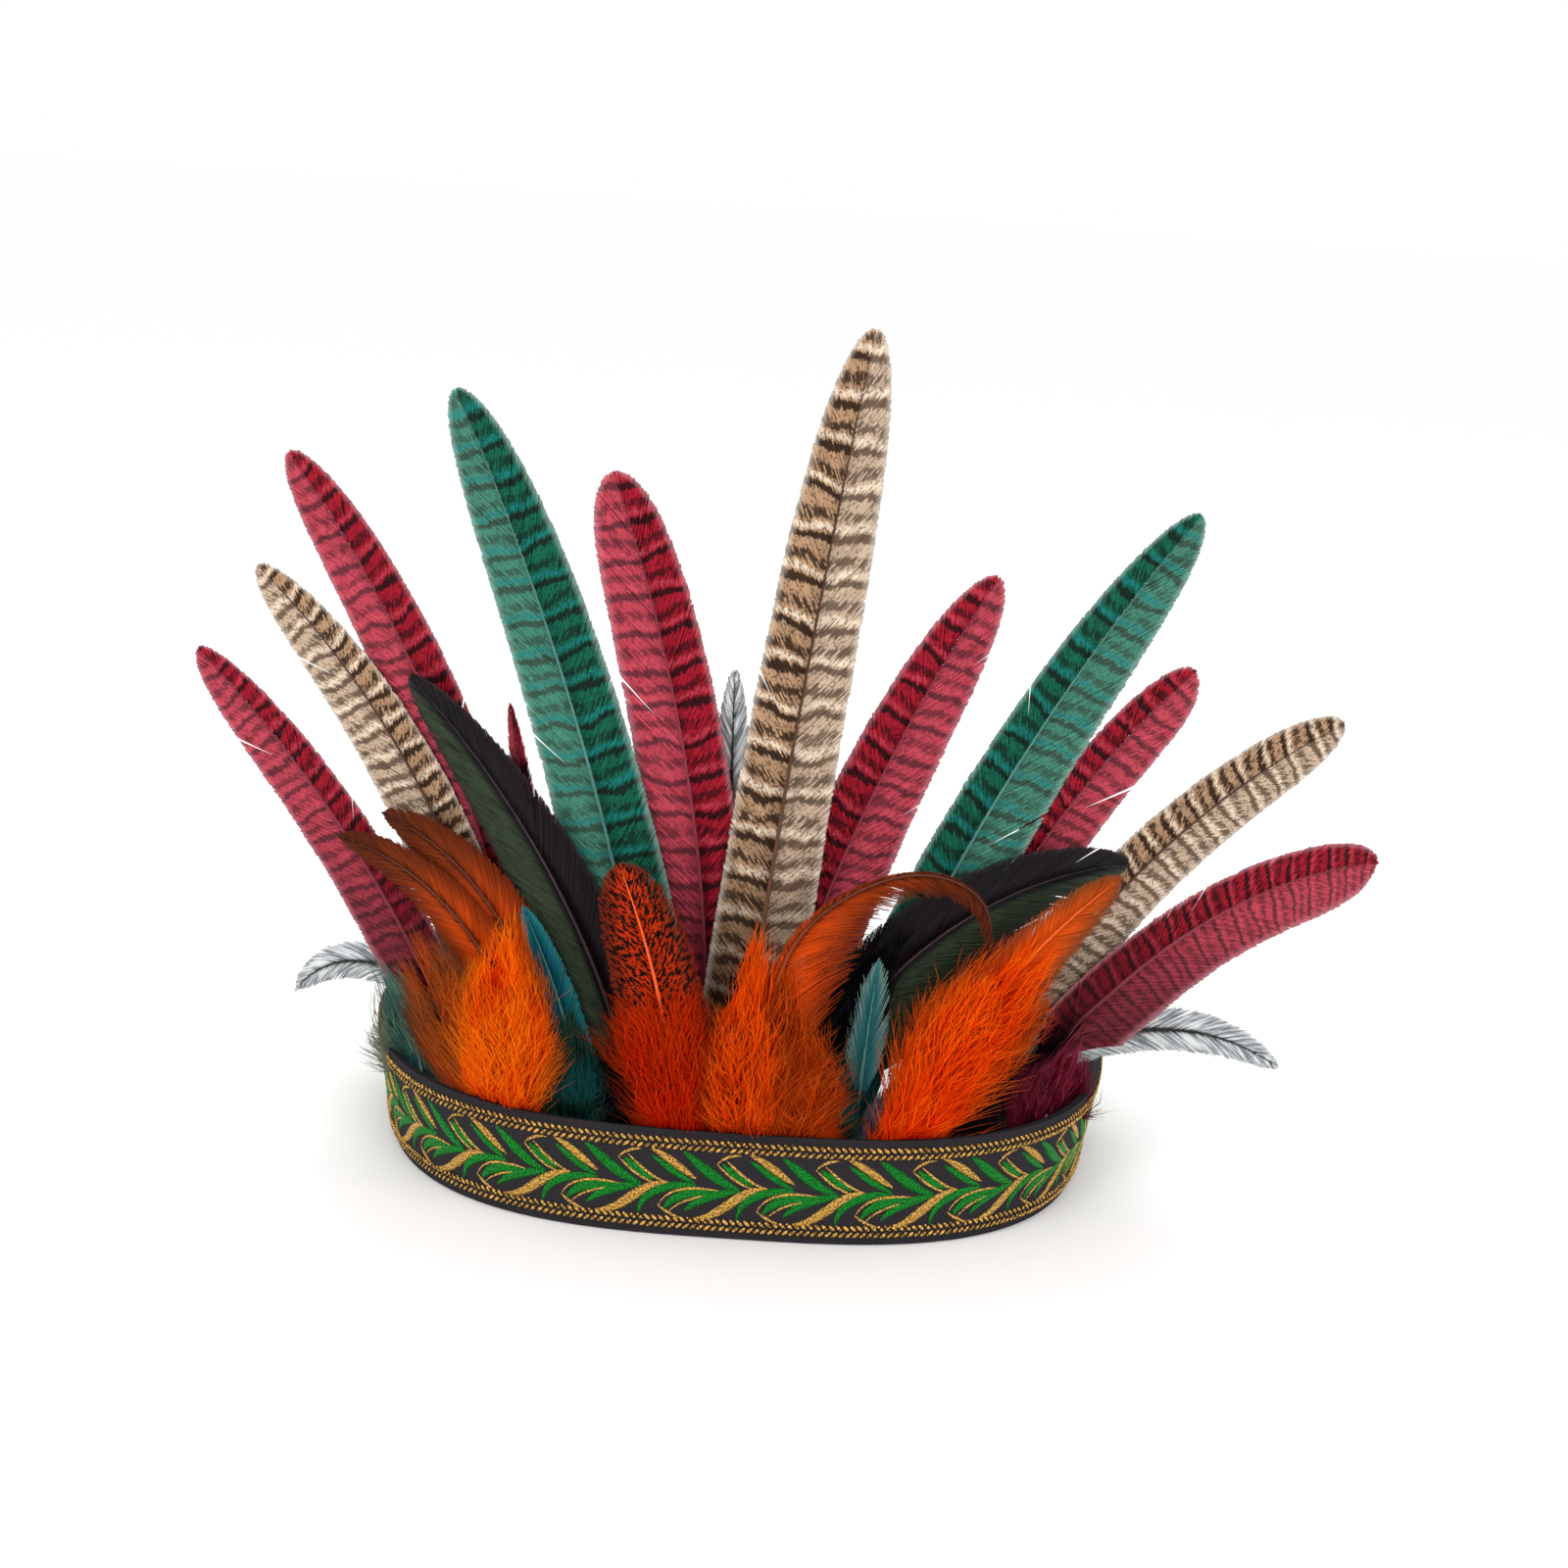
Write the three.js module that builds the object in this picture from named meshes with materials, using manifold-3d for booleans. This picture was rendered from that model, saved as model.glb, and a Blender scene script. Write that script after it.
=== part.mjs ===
// Feathered headdress: a closed loop of woven ribbon with a fan of feathers behind its front half.
// Millimetres, +Z up, the wearer looks along -Y. Each feather is one closed solid.
import * as THREE from "three";
import Module from "manifold-3d";
import { mergeVertices } from "three/addons/utils/BufferGeometryUtils.js";

const wasm = await Module();
wasm.setup();

// Headband
const bandHalfWidth = 90;
const bandFrontDepth = 89;
const bandBackDepth = 84;
const bandEggShape = 0.12;
const bandFrontSquareness = 3;
const bandBackSquareness = 2;
const bandSideFlare = THREE.MathUtils.degToRad(9.3);
const ribbonHeight = 25.4;
const ribbonThickness = 1.8;
const bandSegments = 72;

// How the quills are held and how the fan stands
const seatGap = 0.3;
const quillRadius = 1;
const quillFoot = 4;
const rimClearance = 0.8;
const downFloor = ribbonHeight + rimClearance;
const fanCurveRadius = 60;
const fanCurveSpread = 0.85;
const fanForwardLean = THREE.MathUtils.degToRad(7);
const fanRise = 35;
const layerRise = 6.6;
const wallReach = 0.91;

// Feathers and their sections
const longestFeather = 207.5;
const widestVane = 22;
const vaneHalfThickness = 0.4;
const edgeHalfThickness = 0.25;
const shaftHalfThickness = 0.8;
const shaftHalfWidth = 1.1;
const pathSteps = 120;
const flatQuillAngles = [165, 125, 90, 55, 15, -35, -90, -145].map(THREE.MathUtils.degToRad);
const downAngles = [157.5, 112.5, 67.5, 22.5, -22.5, -67.5, -112.5, -157.5].map(THREE.MathUtils.degToRad);

const burgundy = { color: 0x8f2440, roughness: 0.6 };
const tan = { color: 0xb8987a, roughness: 0.65 };
const teal = { color: 0x2f7a70, roughness: 0.55 };
const dark = { color: 0x1c1a1d, roughness: 0.4 };
const badger = { color: 0x9ea3a6, roughness: 0.6 };
const orange = { color: 0xe0561a, roughness: 0.8 };
const rust = { color: 0xa8481c, roughness: 0.5 };
const purple = { color: 0x2c1a2c, roughness: 0.8 };

// Flat feathers. seat is the quill's place as a share of the band's half width, lean is in degrees from
// upright with right as plus, bend above 1 keeps the lean change for the tip, depth is how far the
// feather stands behind the front layer, length and width are shares of the longest feather and the widest
// vane, left is the share of the vane on the left, bare is the quill left bare above the rim, round is how
// blunt the tip is.
const flatFeathers = [
  { name: "tail_burgundy_far_left", look: burgundy, seat: -0.678, length: 0.684, leanFoot: -5, leanTip: -54,
    bend: 0.61, depth: 10.4, width: 0.818, left: 0.6, bare: 8, round: 5, rows: 13 },
  { name: "tail_tan_left", look: tan, seat: -0.567, length: 0.773, leanFoot: -5, leanTip: -55,
    bend: 1.13, depth: 12.2, width: 0.841, left: 0.6, bare: 8, round: 5, rows: 12 },
  { name: "tail_burgundy_left", look: burgundy, seat: -0.522, length: 0.882, leanFoot: -4, leanTip: -42,
    bend: 1, depth: 14, width: 0.841, left: 0.55, bare: 8, round: 5, rows: 12 },
  { name: "tail_teal_left", look: teal, seat: -0.18, length: 0.942, leanFoot: -7, leanTip: -28,
    bend: 1, depth: 12.2, width: 1, left: 0.5, bare: 8, round: 5, rows: 12 },
  { name: "tail_burgundy_centre", look: burgundy, seat: -0.094, length: 0.841, leanFoot: 3, leanTip: -22,
    bend: 1, depth: 14, width: 0.955, left: 0.55, bare: 8, round: 7, rows: 12 },
  { name: "tail_tan_centre", look: tan, seat: -0.017, length: 1, leanFoot: 3, leanTip: 8,
    bend: 1, depth: 12.2, width: 0.955, left: 0.5, bare: 8, round: 5, rows: 12 },
  { name: "tail_burgundy_right", look: burgundy, seat: 0.017, length: 0.776, leanFoot: 6, leanTip: 30,
    bend: 1, depth: 15.6, width: 0.955, left: 0.45, bare: 8, round: 5, rows: 12 },
  { name: "tail_teal_right", look: teal, seat: 0.217, length: 0.899, leanFoot: 12, leanTip: 39,
    bend: 1, depth: 12.2, width: 1, left: 0.4, bare: 8, round: 5, rows: 12 },
  { name: "tail_burgundy_behind", look: burgundy, seat: 0.411, length: 0.711, leanFoot: 6, leanTip: 48,
    bend: 1, depth: 14, width: 0.795, left: 0.4, bare: 8, round: 6, rows: 12 },
  { name: "tail_tan_right", look: tan, seat: 0.556, length: 0.745, leanFoot: 12, leanTip: 69,
    bend: 1, depth: 12.2, width: 0.818, left: 0.45, bare: 8, round: 5, rows: 12 },
  { name: "tail_burgundy_far_right", look: burgundy, seat: 0.656, length: 0.658, leanFoot: 16, leanTip: 92,
    bend: 1, depth: 10.4, width: 0.886, left: 0.38, bare: 8, round: 6, rows: 12 },
  { name: "hackle_burgundy", look: burgundy, seat: -0.367, length: 0.559, leanFoot: -15, leanTip: -11,
    bend: 1, depth: 17.4, width: 0.364, left: 0.5, bare: 20, round: 1.6, rows: 9 },
  { name: "hackle_tan", look: tan, seat: 0.092, length: 0.528, leanFoot: 1, leanTip: 13,
    bend: 1, depth: 18.4, width: 0.409, left: 0.5, bare: 20, round: 1.8, rows: 9 },
  { name: "badger_centre", look: badger, seat: -0.056, length: 0.617, leanFoot: 0, leanTip: 1,
    bend: 1, depth: 17.4, width: 0.591, left: 0.5, bare: 16, round: 1.8, rows: 9 },
  { name: "badger_left", look: badger, seat: -0.739, length: 0.376, leanFoot: 12, leanTip: -145,
    bend: 1.25, depth: 17.4, width: 0.591, left: 0.5, bare: 3, round: 1.8, rows: 12 },
  { name: "badger_right", look: badger, seat: 0.6, length: 0.48, leanFoot: 3, leanTip: 119,
    bend: 0.69, depth: 17.4, width: 0.591, left: 0.5, bare: 3, round: 1.8, rows: 12 },
  { name: "coque_left", look: dark, seat: -0.218, length: 0.658, leanFoot: -7, leanTip: -50,
    bend: 1, depth: 8.8, width: 0.955, left: 0.55, bare: 6, round: 2.2, rows: 11 },
  { name: "coque_inner_left", look: dark, seat: -0.293, length: 0.492, leanFoot: -1, leanTip: -35,
    bend: 1, depth: 10.7, width: 0.727, left: 0.5, bare: 6, round: 2.4, rows: 9 },
  { name: "coque_right", look: dark, seat: 0.178, length: 0.602, leanFoot: -7, leanTip: 91,
    bend: 1, depth: 8.8, width: 1.091, left: 0.5, bare: 6, round: 2, rows: 12 },
  { name: "hackle_teal_left", look: teal, seat: -0.33, length: 0.342, leanFoot: -11, leanTip: -27,
    bend: 1, depth: 6, width: 0.5, left: 0.5, bare: 3, round: 2.4, rows: 8 },
  { name: "hackle_teal_right", look: teal, seat: 0.294, length: 0.299, leanFoot: 3, leanTip: 4,
    bend: 1, depth: 7, width: 0.545, left: 0.5, bare: 3, round: 2.4, rows: 8 },
  { name: "hackle_orange_low", look: rust, seat: -0.481, length: 0.492, leanFoot: -9, leanTip: -88,
    bend: 1.76, depth: 5.6, width: 0.545, left: 0.5, bare: 10, round: 2, rows: 12 },
  { name: "hackle_orange_high", look: rust, seat: -0.442, length: 0.496, leanFoot: -7, leanTip: -79,
    bend: 2, depth: 7.2, width: 0.636, left: 0.5, bare: 10, round: 2, rows: 12 },
];

// Plumes and tufts of down. The widths are at the rim, in the middle and below the tip, and full and slim
// are the shares of the height where the middle and the top width are reached. back and front are how far
// the body reaches behind and before its layer, arch lifts the tip forward, and the locks are loose
// points of down, lockSpread degrees off the shaft.
const downFeathers = [
  { name: "plume_left", look: orange, seat: -0.622, length: 0.376, leanFoot: 10, leanTip: -16, bend: 1, depth: 0,
    rim: 20, middle: 29, top: 12, full: 0.4, slim: 0.8, left: 0.6, round: 2.2, front: 9, back: 0.8,
    arch: 0, locks: 9, lockLength: 17, lockSpread: 52, rows: 7 },
  { name: "plume_spotted", look: orange, seat: -0.139, length: 0.414, leanFoot: 0, leanTip: -24, bend: 1,
    depth: 0, rim: 13.5, middle: 22, top: 18, full: 0.4, slim: 0.7, left: 0.54, round: 5, front: 7,
    back: 0.8, arch: 0, locks: 6, lockLength: 11, lockSpread: 16, rows: 7 },
  { name: "plume_centre", look: orange, seat: 0.056, length: 0.361, leanFoot: -9, leanTip: -9, bend: 1,
    depth: 0, rim: 11, middle: 12, top: 11, full: 0.4, slim: 0.8, left: 0.54, round: 2.6, front: 9,
    back: 0.8, arch: 0, locks: 7, lockLength: 13, lockSpread: 15, rows: 7 },
  { name: "hackle_arching", look: rust, seat: 0.128, length: 0.651, leanFoot: -10, leanTip: 192, bend: 2.73,
    depth: 0, rim: 14, middle: 17, top: 6, full: 0.12, slim: 0.42, left: 0.06, round: 2.4, front: 5,
    back: 0.8, arch: 14, locks: 0, lockLength: 0, lockSpread: 0, rows: 15 },
  { name: "plume_right", look: orange, seat: 0.372, length: 0.48, leanFoot: 11, leanTip: 55, bend: 1,
    depth: 0, rim: 17, middle: 25, top: 15, full: 0.4, slim: 0.8, left: 0.42, round: 3, front: 8,
    back: 0.8, arch: 0, locks: 8, lockLength: 15, lockSpread: 42, rows: 7 },
  { name: "tuft_teal_left", look: teal, seat: -0.8, length: 0.183, leanFoot: -8, leanTip: -30, bend: 1,
    depth: 3.4, rim: 19, middle: 23, top: 16, full: 0.4, slim: 0.8, left: 0.55, round: 2.4, front: 1.3,
    back: 1.3, arch: 0, locks: 5, lockLength: 11, lockSpread: 46, rows: 4 },
  { name: "tuft_teal_middle", look: teal, seat: -0.403, length: 0.212, leanFoot: -4, leanTip: -6, bend: 1,
    depth: 3.4, rim: 13, middle: 16, top: 11, full: 0.4, slim: 0.8, left: 0.6, round: 2.4, front: 1.3,
    back: 1.3, arch: 0, locks: 4, lockLength: 9, lockSpread: 36, rows: 4 },
  { name: "tuft_teal_right", look: teal, seat: 0.25, length: 0.183, leanFoot: 0, leanTip: 4, bend: 1,
    depth: 3.4, rim: 8, middle: 10, top: 8, full: 0.4, slim: 0.8, left: 0.6, round: 2.4, front: 1.3,
    back: 1.3, arch: 0, locks: 4, lockLength: 7, lockSpread: 22, rows: 4 },
  { name: "tuft_black_middle", look: dark, seat: -0.256, length: 0.212, leanFoot: -6, leanTip: -4, bend: 1,
    depth: 3.4, rim: 10, middle: 12, top: 9, full: 0.4, slim: 0.8, left: 0.5, round: 2.2, front: 1.3,
    back: 1.3, arch: 0, locks: 4, lockLength: 9, lockSpread: 30, rows: 4 },
  { name: "tuft_purple", look: purple, seat: 0.339, length: 0.173, leanFoot: 6, leanTip: 12, bend: 1,
    depth: 3.4, rim: 8, middle: 9, top: 8, full: 0.4, slim: 0.8, left: 0.4, round: 2.2, front: 1.3,
    back: 1.3, arch: 0, locks: 4, lockLength: 7, lockSpread: 18, rows: 4 },
  { name: "tuft_black_right", look: dark, seat: 0.511, length: 0.164, leanFoot: 24, leanTip: 30, bend: 1,
    depth: 3.4, rim: 14, middle: 17, top: 12, full: 0.4, slim: 0.8, left: 0.5, round: 2.4, front: 1.3,
    back: 1.3, arch: 0, locks: 4, lockLength: 8, lockSpread: 28, rows: 4 },
  { name: "tuft_burgundy", look: burgundy, seat: 0.778, length: 0.202, leanFoot: 8, leanTip: 26, bend: 1,
    depth: 3.4, rim: 18, middle: 22, top: 15, full: 0.4, slim: 0.8, left: 0.4, round: 2.4, front: 1.3,
    back: 1.3, arch: 0, locks: 5, lockLength: 10, lockSpread: 36, rows: 4 },
];

const smoothStep = (share) => THREE.MathUtils.smoothstep(share, 0, 1);
const signedPower = (value, power) => Math.sign(value) * Math.abs(value) ** power;

// The loop's plan at an angle from the front, at a height and a depth into the wall.
function planPoint(angle) {
  const squareness = Math.cos(angle) > 0 ? bandFrontSquareness : bandBackSquareness;
  const along = signedPower(Math.cos(angle), 2 / squareness);
  const across = signedPower(Math.sin(angle), 2 / squareness);
  const depth = along > 0 ? bandFrontDepth : bandBackDepth;
  return new THREE.Vector2(bandHalfWidth * across * (1 - bandEggShape * along), -depth * along);
}

function wallPoint(angle, height, inset) {
  const step = 0.002;
  const point = planPoint(angle);
  const along = planPoint(angle + step).sub(planPoint(angle - step)).normalize();
  const out = height * Math.tan(bandSideFlare * Math.sin(angle) ** 2) - inset;
  return new THREE.Vector2(point.x + along.y * out, point.y - along.x * out);
}

// The angles that cut the loop into pieces of equal length.
function evenAngles(count) {
  const fine = 4000;
  const lengths = [0];
  for (let i = 1; i <= fine; i++) {
    const from = planPoint(2 * Math.PI * (i - 1) / fine);
    lengths.push(lengths[i - 1] + from.distanceTo(planPoint(2 * Math.PI * i / fine)));
  }
  const angles = [];
  let at = 0;
  for (let i = 0; i < count; i++) {
    while (lengths[at + 1] < lengths[fine] * i / count) at++;
    const share = (lengths[fine] * i / count - lengths[at]) / (lengths[at + 1] - lengths[at]);
    angles.push(2 * Math.PI * (at + share) / fine);
  }
  return angles;
}

// Y of the quill row behind the front wall at x, found by halving the angle.
function quillRowY(x, height) {
  const inset = ribbonThickness + seatGap + quillRadius;
  const reach = wallPoint(Math.PI / 2, height, inset).x * wallReach;
  const target = THREE.MathUtils.clamp(x, -reach, reach);
  let low = -Math.PI / 2;
  let high = Math.PI / 2;
  for (let i = 0; i < 30; i++) {
    const middle = (low + high) / 2;
    if (wallPoint(middle, height, inset).x < target) low = middle;
    else high = middle;
  }
  return wallPoint(low, height, inset).y;
}

// Y of the fan's surface: it leaves the quill row at the rim and opens into a wide curve above it.
function fanY(x, z, depth) {
  const open = smoothStep((z - ribbonHeight + 3) / fanRise);
  const wide = Math.hypot(fanCurveRadius, fanCurveSpread * x) - fanCurveRadius;
  const fan = wide - bandFrontDepth + ribbonThickness + seatGap + quillRadius;
  const row = quillRowY(x, THREE.MathUtils.clamp(z, 0, ribbonHeight));
  const lean = Math.tan(fanForwardLean) * Math.max(0, z - ribbonHeight);
  const layer = depth * smoothStep((z - quillFoot) / (ribbonHeight + layerRise - quillFoot));
  return row + (fan - row) * open - lean + layer;
}

// The shaft's line in the fan's x and z, with the lean at each step.
function shaftLine({ seat, length, leanFoot, leanTip, bend }) {
  const line = [{ x: seat * bandHalfWidth, z: quillFoot, lean: leanFoot * Math.PI / 180, share: 0 }];
  for (let i = 1; i <= pathSteps; i++) {
    const middle = (i - 0.5) / pathSteps;
    const lean = (leanFoot + (leanTip - leanFoot) * middle ** bend) * Math.PI / 180;
    const last = line[i - 1];
    const step = longestFeather * length / pathSteps;
    line.push({ x: last.x + step * Math.sin(lean), z: last.z + step * Math.cos(lean), lean, share: i / pathSteps });
  }
  return line;
}

function alongLine(line, share) {
  const at = Math.min(share * pathSteps, pathSteps - 1e-6);
  const low = line[Math.floor(at)];
  const high = line[Math.floor(at) + 1];
  const mix = at - Math.floor(at);
  const lerp = THREE.MathUtils.lerp;
  return { x: lerp(low.x, high.x, mix), z: lerp(low.z, high.z, mix), lean: lerp(low.lean, high.lean, mix) };
}

function shareAtHeight(line, height) {
  return line.find((point) => point.z >= height).share;
}

// A point beside the shaft, no lower than floor: across is to the right, forward is towards the front.
function onFan(at, depth, across, forward, floor = 0) {
  const x = at.x + across * Math.cos(at.lean);
  const z = Math.max(floor, at.z - across * Math.sin(at.lean));
  return new THREE.Vector3(x, fanY(x, z, depth) - forward, z);
}

// A closed body through rings of as many points each, ending in a point at each end.
function loft(rings, foot, tip) {
  const count = rings[0].length;
  const positions = [foot, ...rings.flat(), tip].flatMap((point) => point.toArray());
  const tipIndex = positions.length / 3 - 1;
  const index = [];
  for (let i = 0; i < count; i++) {
    const next = (i + 1) % count;
    index.push(0, 1 + next, 1 + i);
    for (let row = 0; row < rings.length - 1; row++) {
      const low = 1 + row * count;
      const high = low + count;
      index.push(low + i, low + next, high + next, low + i, high + next, high + i);
    }
    const last = 1 + (rings.length - 1) * count;
    index.push(last + i, last + next, tipIndex);
  }
  const geometry = new THREE.BufferGeometry();
  geometry.setAttribute("position", new THREE.Float32BufferAttribute(positions, 3));
  geometry.setIndex(index);
  return faceOut(geometry);
}

// Turns the faces round if they point in.
function faceOut(geometry) {
  const position = geometry.attributes.position;
  const index = geometry.index.array;
  const corner = (i) => new THREE.Vector3().fromBufferAttribute(position, index[i]);
  let volume = 0;
  for (let i = 0; i < index.length; i += 3) {
    volume += corner(i).dot(corner(i + 1).cross(corner(i + 2)));
  }
  if (volume < 0) index.reverse();
  return geometry;
}

// Width of a flat vane as a share of its full width, from its root at 0 to its tip at 1.
function vaneShare(share, round) {
  const opening = Math.min(1, 0.35 + share / 0.16);
  return opening * (1 - share ** round) ** 0.6 * (1 - 0.12 * share);
}

function quillRing(line, share, depth, angles) {
  const at = alongLine(line, share);
  return angles.map((angle) => {
    return onFan(at, depth, quillRadius * Math.cos(angle), quillRadius * Math.sin(angle));
  });
}

function flatFeather(row) {
  const line = shaftLine(row);
  const vaneStart = shareAtHeight(line, ribbonHeight + rimClearance + row.bare);
  const quillShares = [0, vaneStart * 0.5, vaneStart];
  const rings = quillShares.map((share) => quillRing(line, share, row.depth, flatQuillAngles));
  for (let i = 0; i < row.rows; i++) {
    const vane = 0.03 + 0.955 * (i / (row.rows - 1));
    const at = alongLine(line, vaneStart + vane * (1 - vaneStart));
    const width = widestVane * row.width * vaneShare(vane, row.round);
    const left = -Math.max(width * row.left, shaftHalfWidth * 1.2);
    const right = Math.max(width * (1 - row.left), shaftHalfWidth * 1.2);
    const taper = 1 - 0.55 * vane;
    const root = shaftHalfWidth * taper;
    const shaft = shaftHalfThickness * taper;
    const section = [
      [left, edgeHalfThickness], [-root, vaneHalfThickness], [0, shaft], [root, vaneHalfThickness],
      [right, edgeHalfThickness], [right, -edgeHalfThickness], [0, -shaft], [left, -edgeHalfThickness],
    ];
    rings.push(section.map(([across, forward]) => onFan(at, row.depth, across, forward)));
  }
  const foot = onFan(alongLine(line, 0), row.depth, 0, 0);
  const tip = onFan(alongLine(line, 1), row.depth, 0, 0);
  return loft(rings, foot, tip);
}

// Width of a body of down between its three named widths.
function downWidth(row, share) {
  const low = THREE.MathUtils.lerp(row.rim, row.middle, smoothStep(share / row.full));
  const width = THREE.MathUtils.lerp(low, row.top, smoothStep((share - row.full) / (row.slim - row.full)));
  return width * (1 - share ** row.round) ** 0.55;
}

// How far the body stands out in front of its layer.
function downBulge(row, share) {
  return Math.min(row.front, downWidth(row, share) / 2) * Math.sin(Math.PI * (0.25 + 0.72 * share)) ** 0.8;
}

function archLift(row, share) {
  return row.arch * smoothStep((share - 0.25) / 0.35) * (1 - 0.3 * smoothStep((share - 0.75) / 0.25));
}

function downSection(at, row, share) {
  const width = downWidth(row, share);
  const lift = archLift(row, share);
  return downAngles.map((angle) => {
    const side = Math.cos(angle) < 0 ? row.left : 1 - row.left;
    const forward = Math.sin(angle) > 0 ? downBulge(row, share) : row.back * Math.min(1, width / 6);
    const across = width * side * Math.cos(angle);
    return onFan(at, row.depth, across, forward * Math.sin(angle) + lift, downFloor);
  });
}

// One loose point of down: a bent four-sided cone rooted inside the body.
function lock(line, row, start, index) {
  const share = 0.1 + 0.7 * (index + 0.5) / row.locks;
  const side = index % 2 ? 1 : -1;
  const at = alongLine(line, start + share * (1 - start));
  const root = downWidth(row, share) * (side < 0 ? row.left : 1 - row.left) * 0.6 * side;
  const spread = THREE.MathUtils.degToRad(row.lockSpread) * (1.15 - 0.6 * share) * side;
  const bulge = downBulge(row, share);
  const lift = row.front > row.back ? bulge * (0.25 + 0.12 * (index % 3)) : 0;
  const wide = Math.min(2.4, bulge * 0.8);
  const thick = Math.min(wide, bulge * 0.6);
  const spot = (along) => {
    const turn = at.lean + spread * (1 - 0.35 * along);
    const reach = row.lockLength * along;
    const x = at.x + root * Math.cos(at.lean) + reach * Math.sin(turn);
    const z = at.z - root * Math.sin(at.lean) + reach * Math.cos(turn);
    return { x, z, lean: turn };
  };
  const rings = [0, 0.45, 0.8].map((along) => [0, 1, 2, 3].map((i) => {
    const angle = Math.PI * (0.75 - i / 2);
    const across = wide * (1 - 0.8 * along) * Math.cos(angle);
    const forward = thick * (1 - 0.8 * along) * Math.sin(angle);
    return onFan(spot(along), row.depth, across, forward + lift, downFloor);
  }));
  const foot = onFan(spot(-0.05), row.depth, 0, lift, downFloor);
  return loft(rings, foot, onFan(spot(1), row.depth, 0, lift, downFloor));
}

function solid(geometry) {
  const merged = mergeVertices(geometry, 1e-5);
  const mesh = new wasm.Mesh({
    numProp: 3,
    vertProperties: new Float32Array(merged.attributes.position.array),
    triVerts: new Uint32Array(merged.index.array),
  });
  return new wasm.Manifold(mesh);
}

function fromSolid(body) {
  const mesh = body.getMesh();
  const geometry = new THREE.BufferGeometry();
  geometry.setAttribute("position", new THREE.Float32BufferAttribute(mesh.vertProperties, 3));
  geometry.setIndex(new THREE.Uint32BufferAttribute(mesh.triVerts, 1));
  return geometry;
}

function downFeather(row) {
  const line = shaftLine(row);
  const start = shareAtHeight(line, downFloor);
  const rings = [0, start * 0.55, start].map((share) => quillRing(line, share, row.depth, downAngles));
  for (let i = 0; i < row.rows; i++) {
    const share = 0.03 + 0.94 * i / (row.rows - 1);
    rings.push(downSection(alongLine(line, start + share * (1 - start)), row, share));
  }
  const foot = onFan(alongLine(line, 0), row.depth, 0, 0);
  const tip = onFan(alongLine(line, 1), row.depth, 0, archLift(row, 1));
  let body = solid(loft(rings, foot, tip));
  for (let i = 0; i < row.locks; i++) body = body.add(solid(lock(line, row, start, i)));
  return fromSolid(body);
}

function ribbonLoop() {
  const angles = evenAngles(bandSegments);
  const corners = [[0, 0], [ribbonHeight, 0], [ribbonHeight, ribbonThickness], [0, ribbonThickness]];
  const positions = [];
  const index = [];
  angles.forEach((angle, i) => {
    for (const [height, inset] of corners) {
      const point = wallPoint(angle, height, inset);
      positions.push(point.x, point.y, height);
    }
    const next = (i + 1) % angles.length;
    for (let k = 0; k < 4; k++) {
      const here = [4 * i + k, 4 * i + (k + 1) % 4];
      const there = [4 * next + k, 4 * next + (k + 1) % 4];
      index.push(here[0], there[0], there[1], here[0], there[1], here[1]);
    }
  });
  const geometry = new THREE.BufferGeometry();
  geometry.setAttribute("position", new THREE.Float32BufferAttribute(positions, 3));
  geometry.setIndex(index);
  return faceOut(geometry);
}

function addPiece(group, name, geometry, look) {
  const material = new THREE.MeshStandardMaterial({ color: look.color, roughness: look.roughness, metalness: 0 });
  const mesh = new THREE.Mesh(geometry, material);
  mesh.name = name;
  group.add(mesh);
}

const headdress = new THREE.Group();
addPiece(headdress, "ribbon_band", ribbonLoop(), { color: 0x242226, roughness: 0.75 });
for (const row of flatFeathers) addPiece(headdress, row.name, flatFeather(row), row.look);
for (const row of downFeathers) addPiece(headdress, row.name, downFeather(row), row.look);

// The origin is under the middle of the whole part, on the surface that it rests on.
const box = new THREE.Box3().setFromObject(headdress, true);
const middle = box.getCenter(new THREE.Vector3());
headdress.position.set(-middle.x, -middle.y, -box.min.z);

export default headdress;
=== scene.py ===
# %% [markdown]
# Feathered headdress.
# The real piece is a loop of woven ribbon with about thirty dyed feathers held behind its front half:
# long barred pheasant tails in a fan, small hackles before them, then orange plumes and tufts of down.
# The CAD model gives the place of each feather. Here every feather gets its shaft, its barbs and its
# colours, and the ribbon gets its weave. The CAD works in millimetres, so the shapes are worked out in
# millimetres too and turned into metres when a mesh is made.

# %% Load the frame
import bpy
import math
from collections import namedtuple
import numpy as np
from mathutils import Matrix, Vector


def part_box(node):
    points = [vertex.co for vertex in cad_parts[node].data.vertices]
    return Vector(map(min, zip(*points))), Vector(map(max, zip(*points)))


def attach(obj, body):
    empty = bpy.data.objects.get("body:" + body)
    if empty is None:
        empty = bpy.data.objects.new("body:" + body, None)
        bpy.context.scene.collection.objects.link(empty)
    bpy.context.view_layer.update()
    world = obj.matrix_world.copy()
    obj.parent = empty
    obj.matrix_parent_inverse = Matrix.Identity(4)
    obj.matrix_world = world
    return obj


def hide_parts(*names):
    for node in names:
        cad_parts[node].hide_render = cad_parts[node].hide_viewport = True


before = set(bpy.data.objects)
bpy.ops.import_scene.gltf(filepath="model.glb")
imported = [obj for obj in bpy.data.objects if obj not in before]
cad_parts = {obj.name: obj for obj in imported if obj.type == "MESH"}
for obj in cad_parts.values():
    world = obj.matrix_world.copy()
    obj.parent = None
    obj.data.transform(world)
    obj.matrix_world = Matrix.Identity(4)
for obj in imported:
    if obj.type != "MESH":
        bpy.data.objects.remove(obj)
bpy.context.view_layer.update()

bpy.ops.object.select_all(action="DESELECT")
print("CAD nodes:", len(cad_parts))

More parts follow.
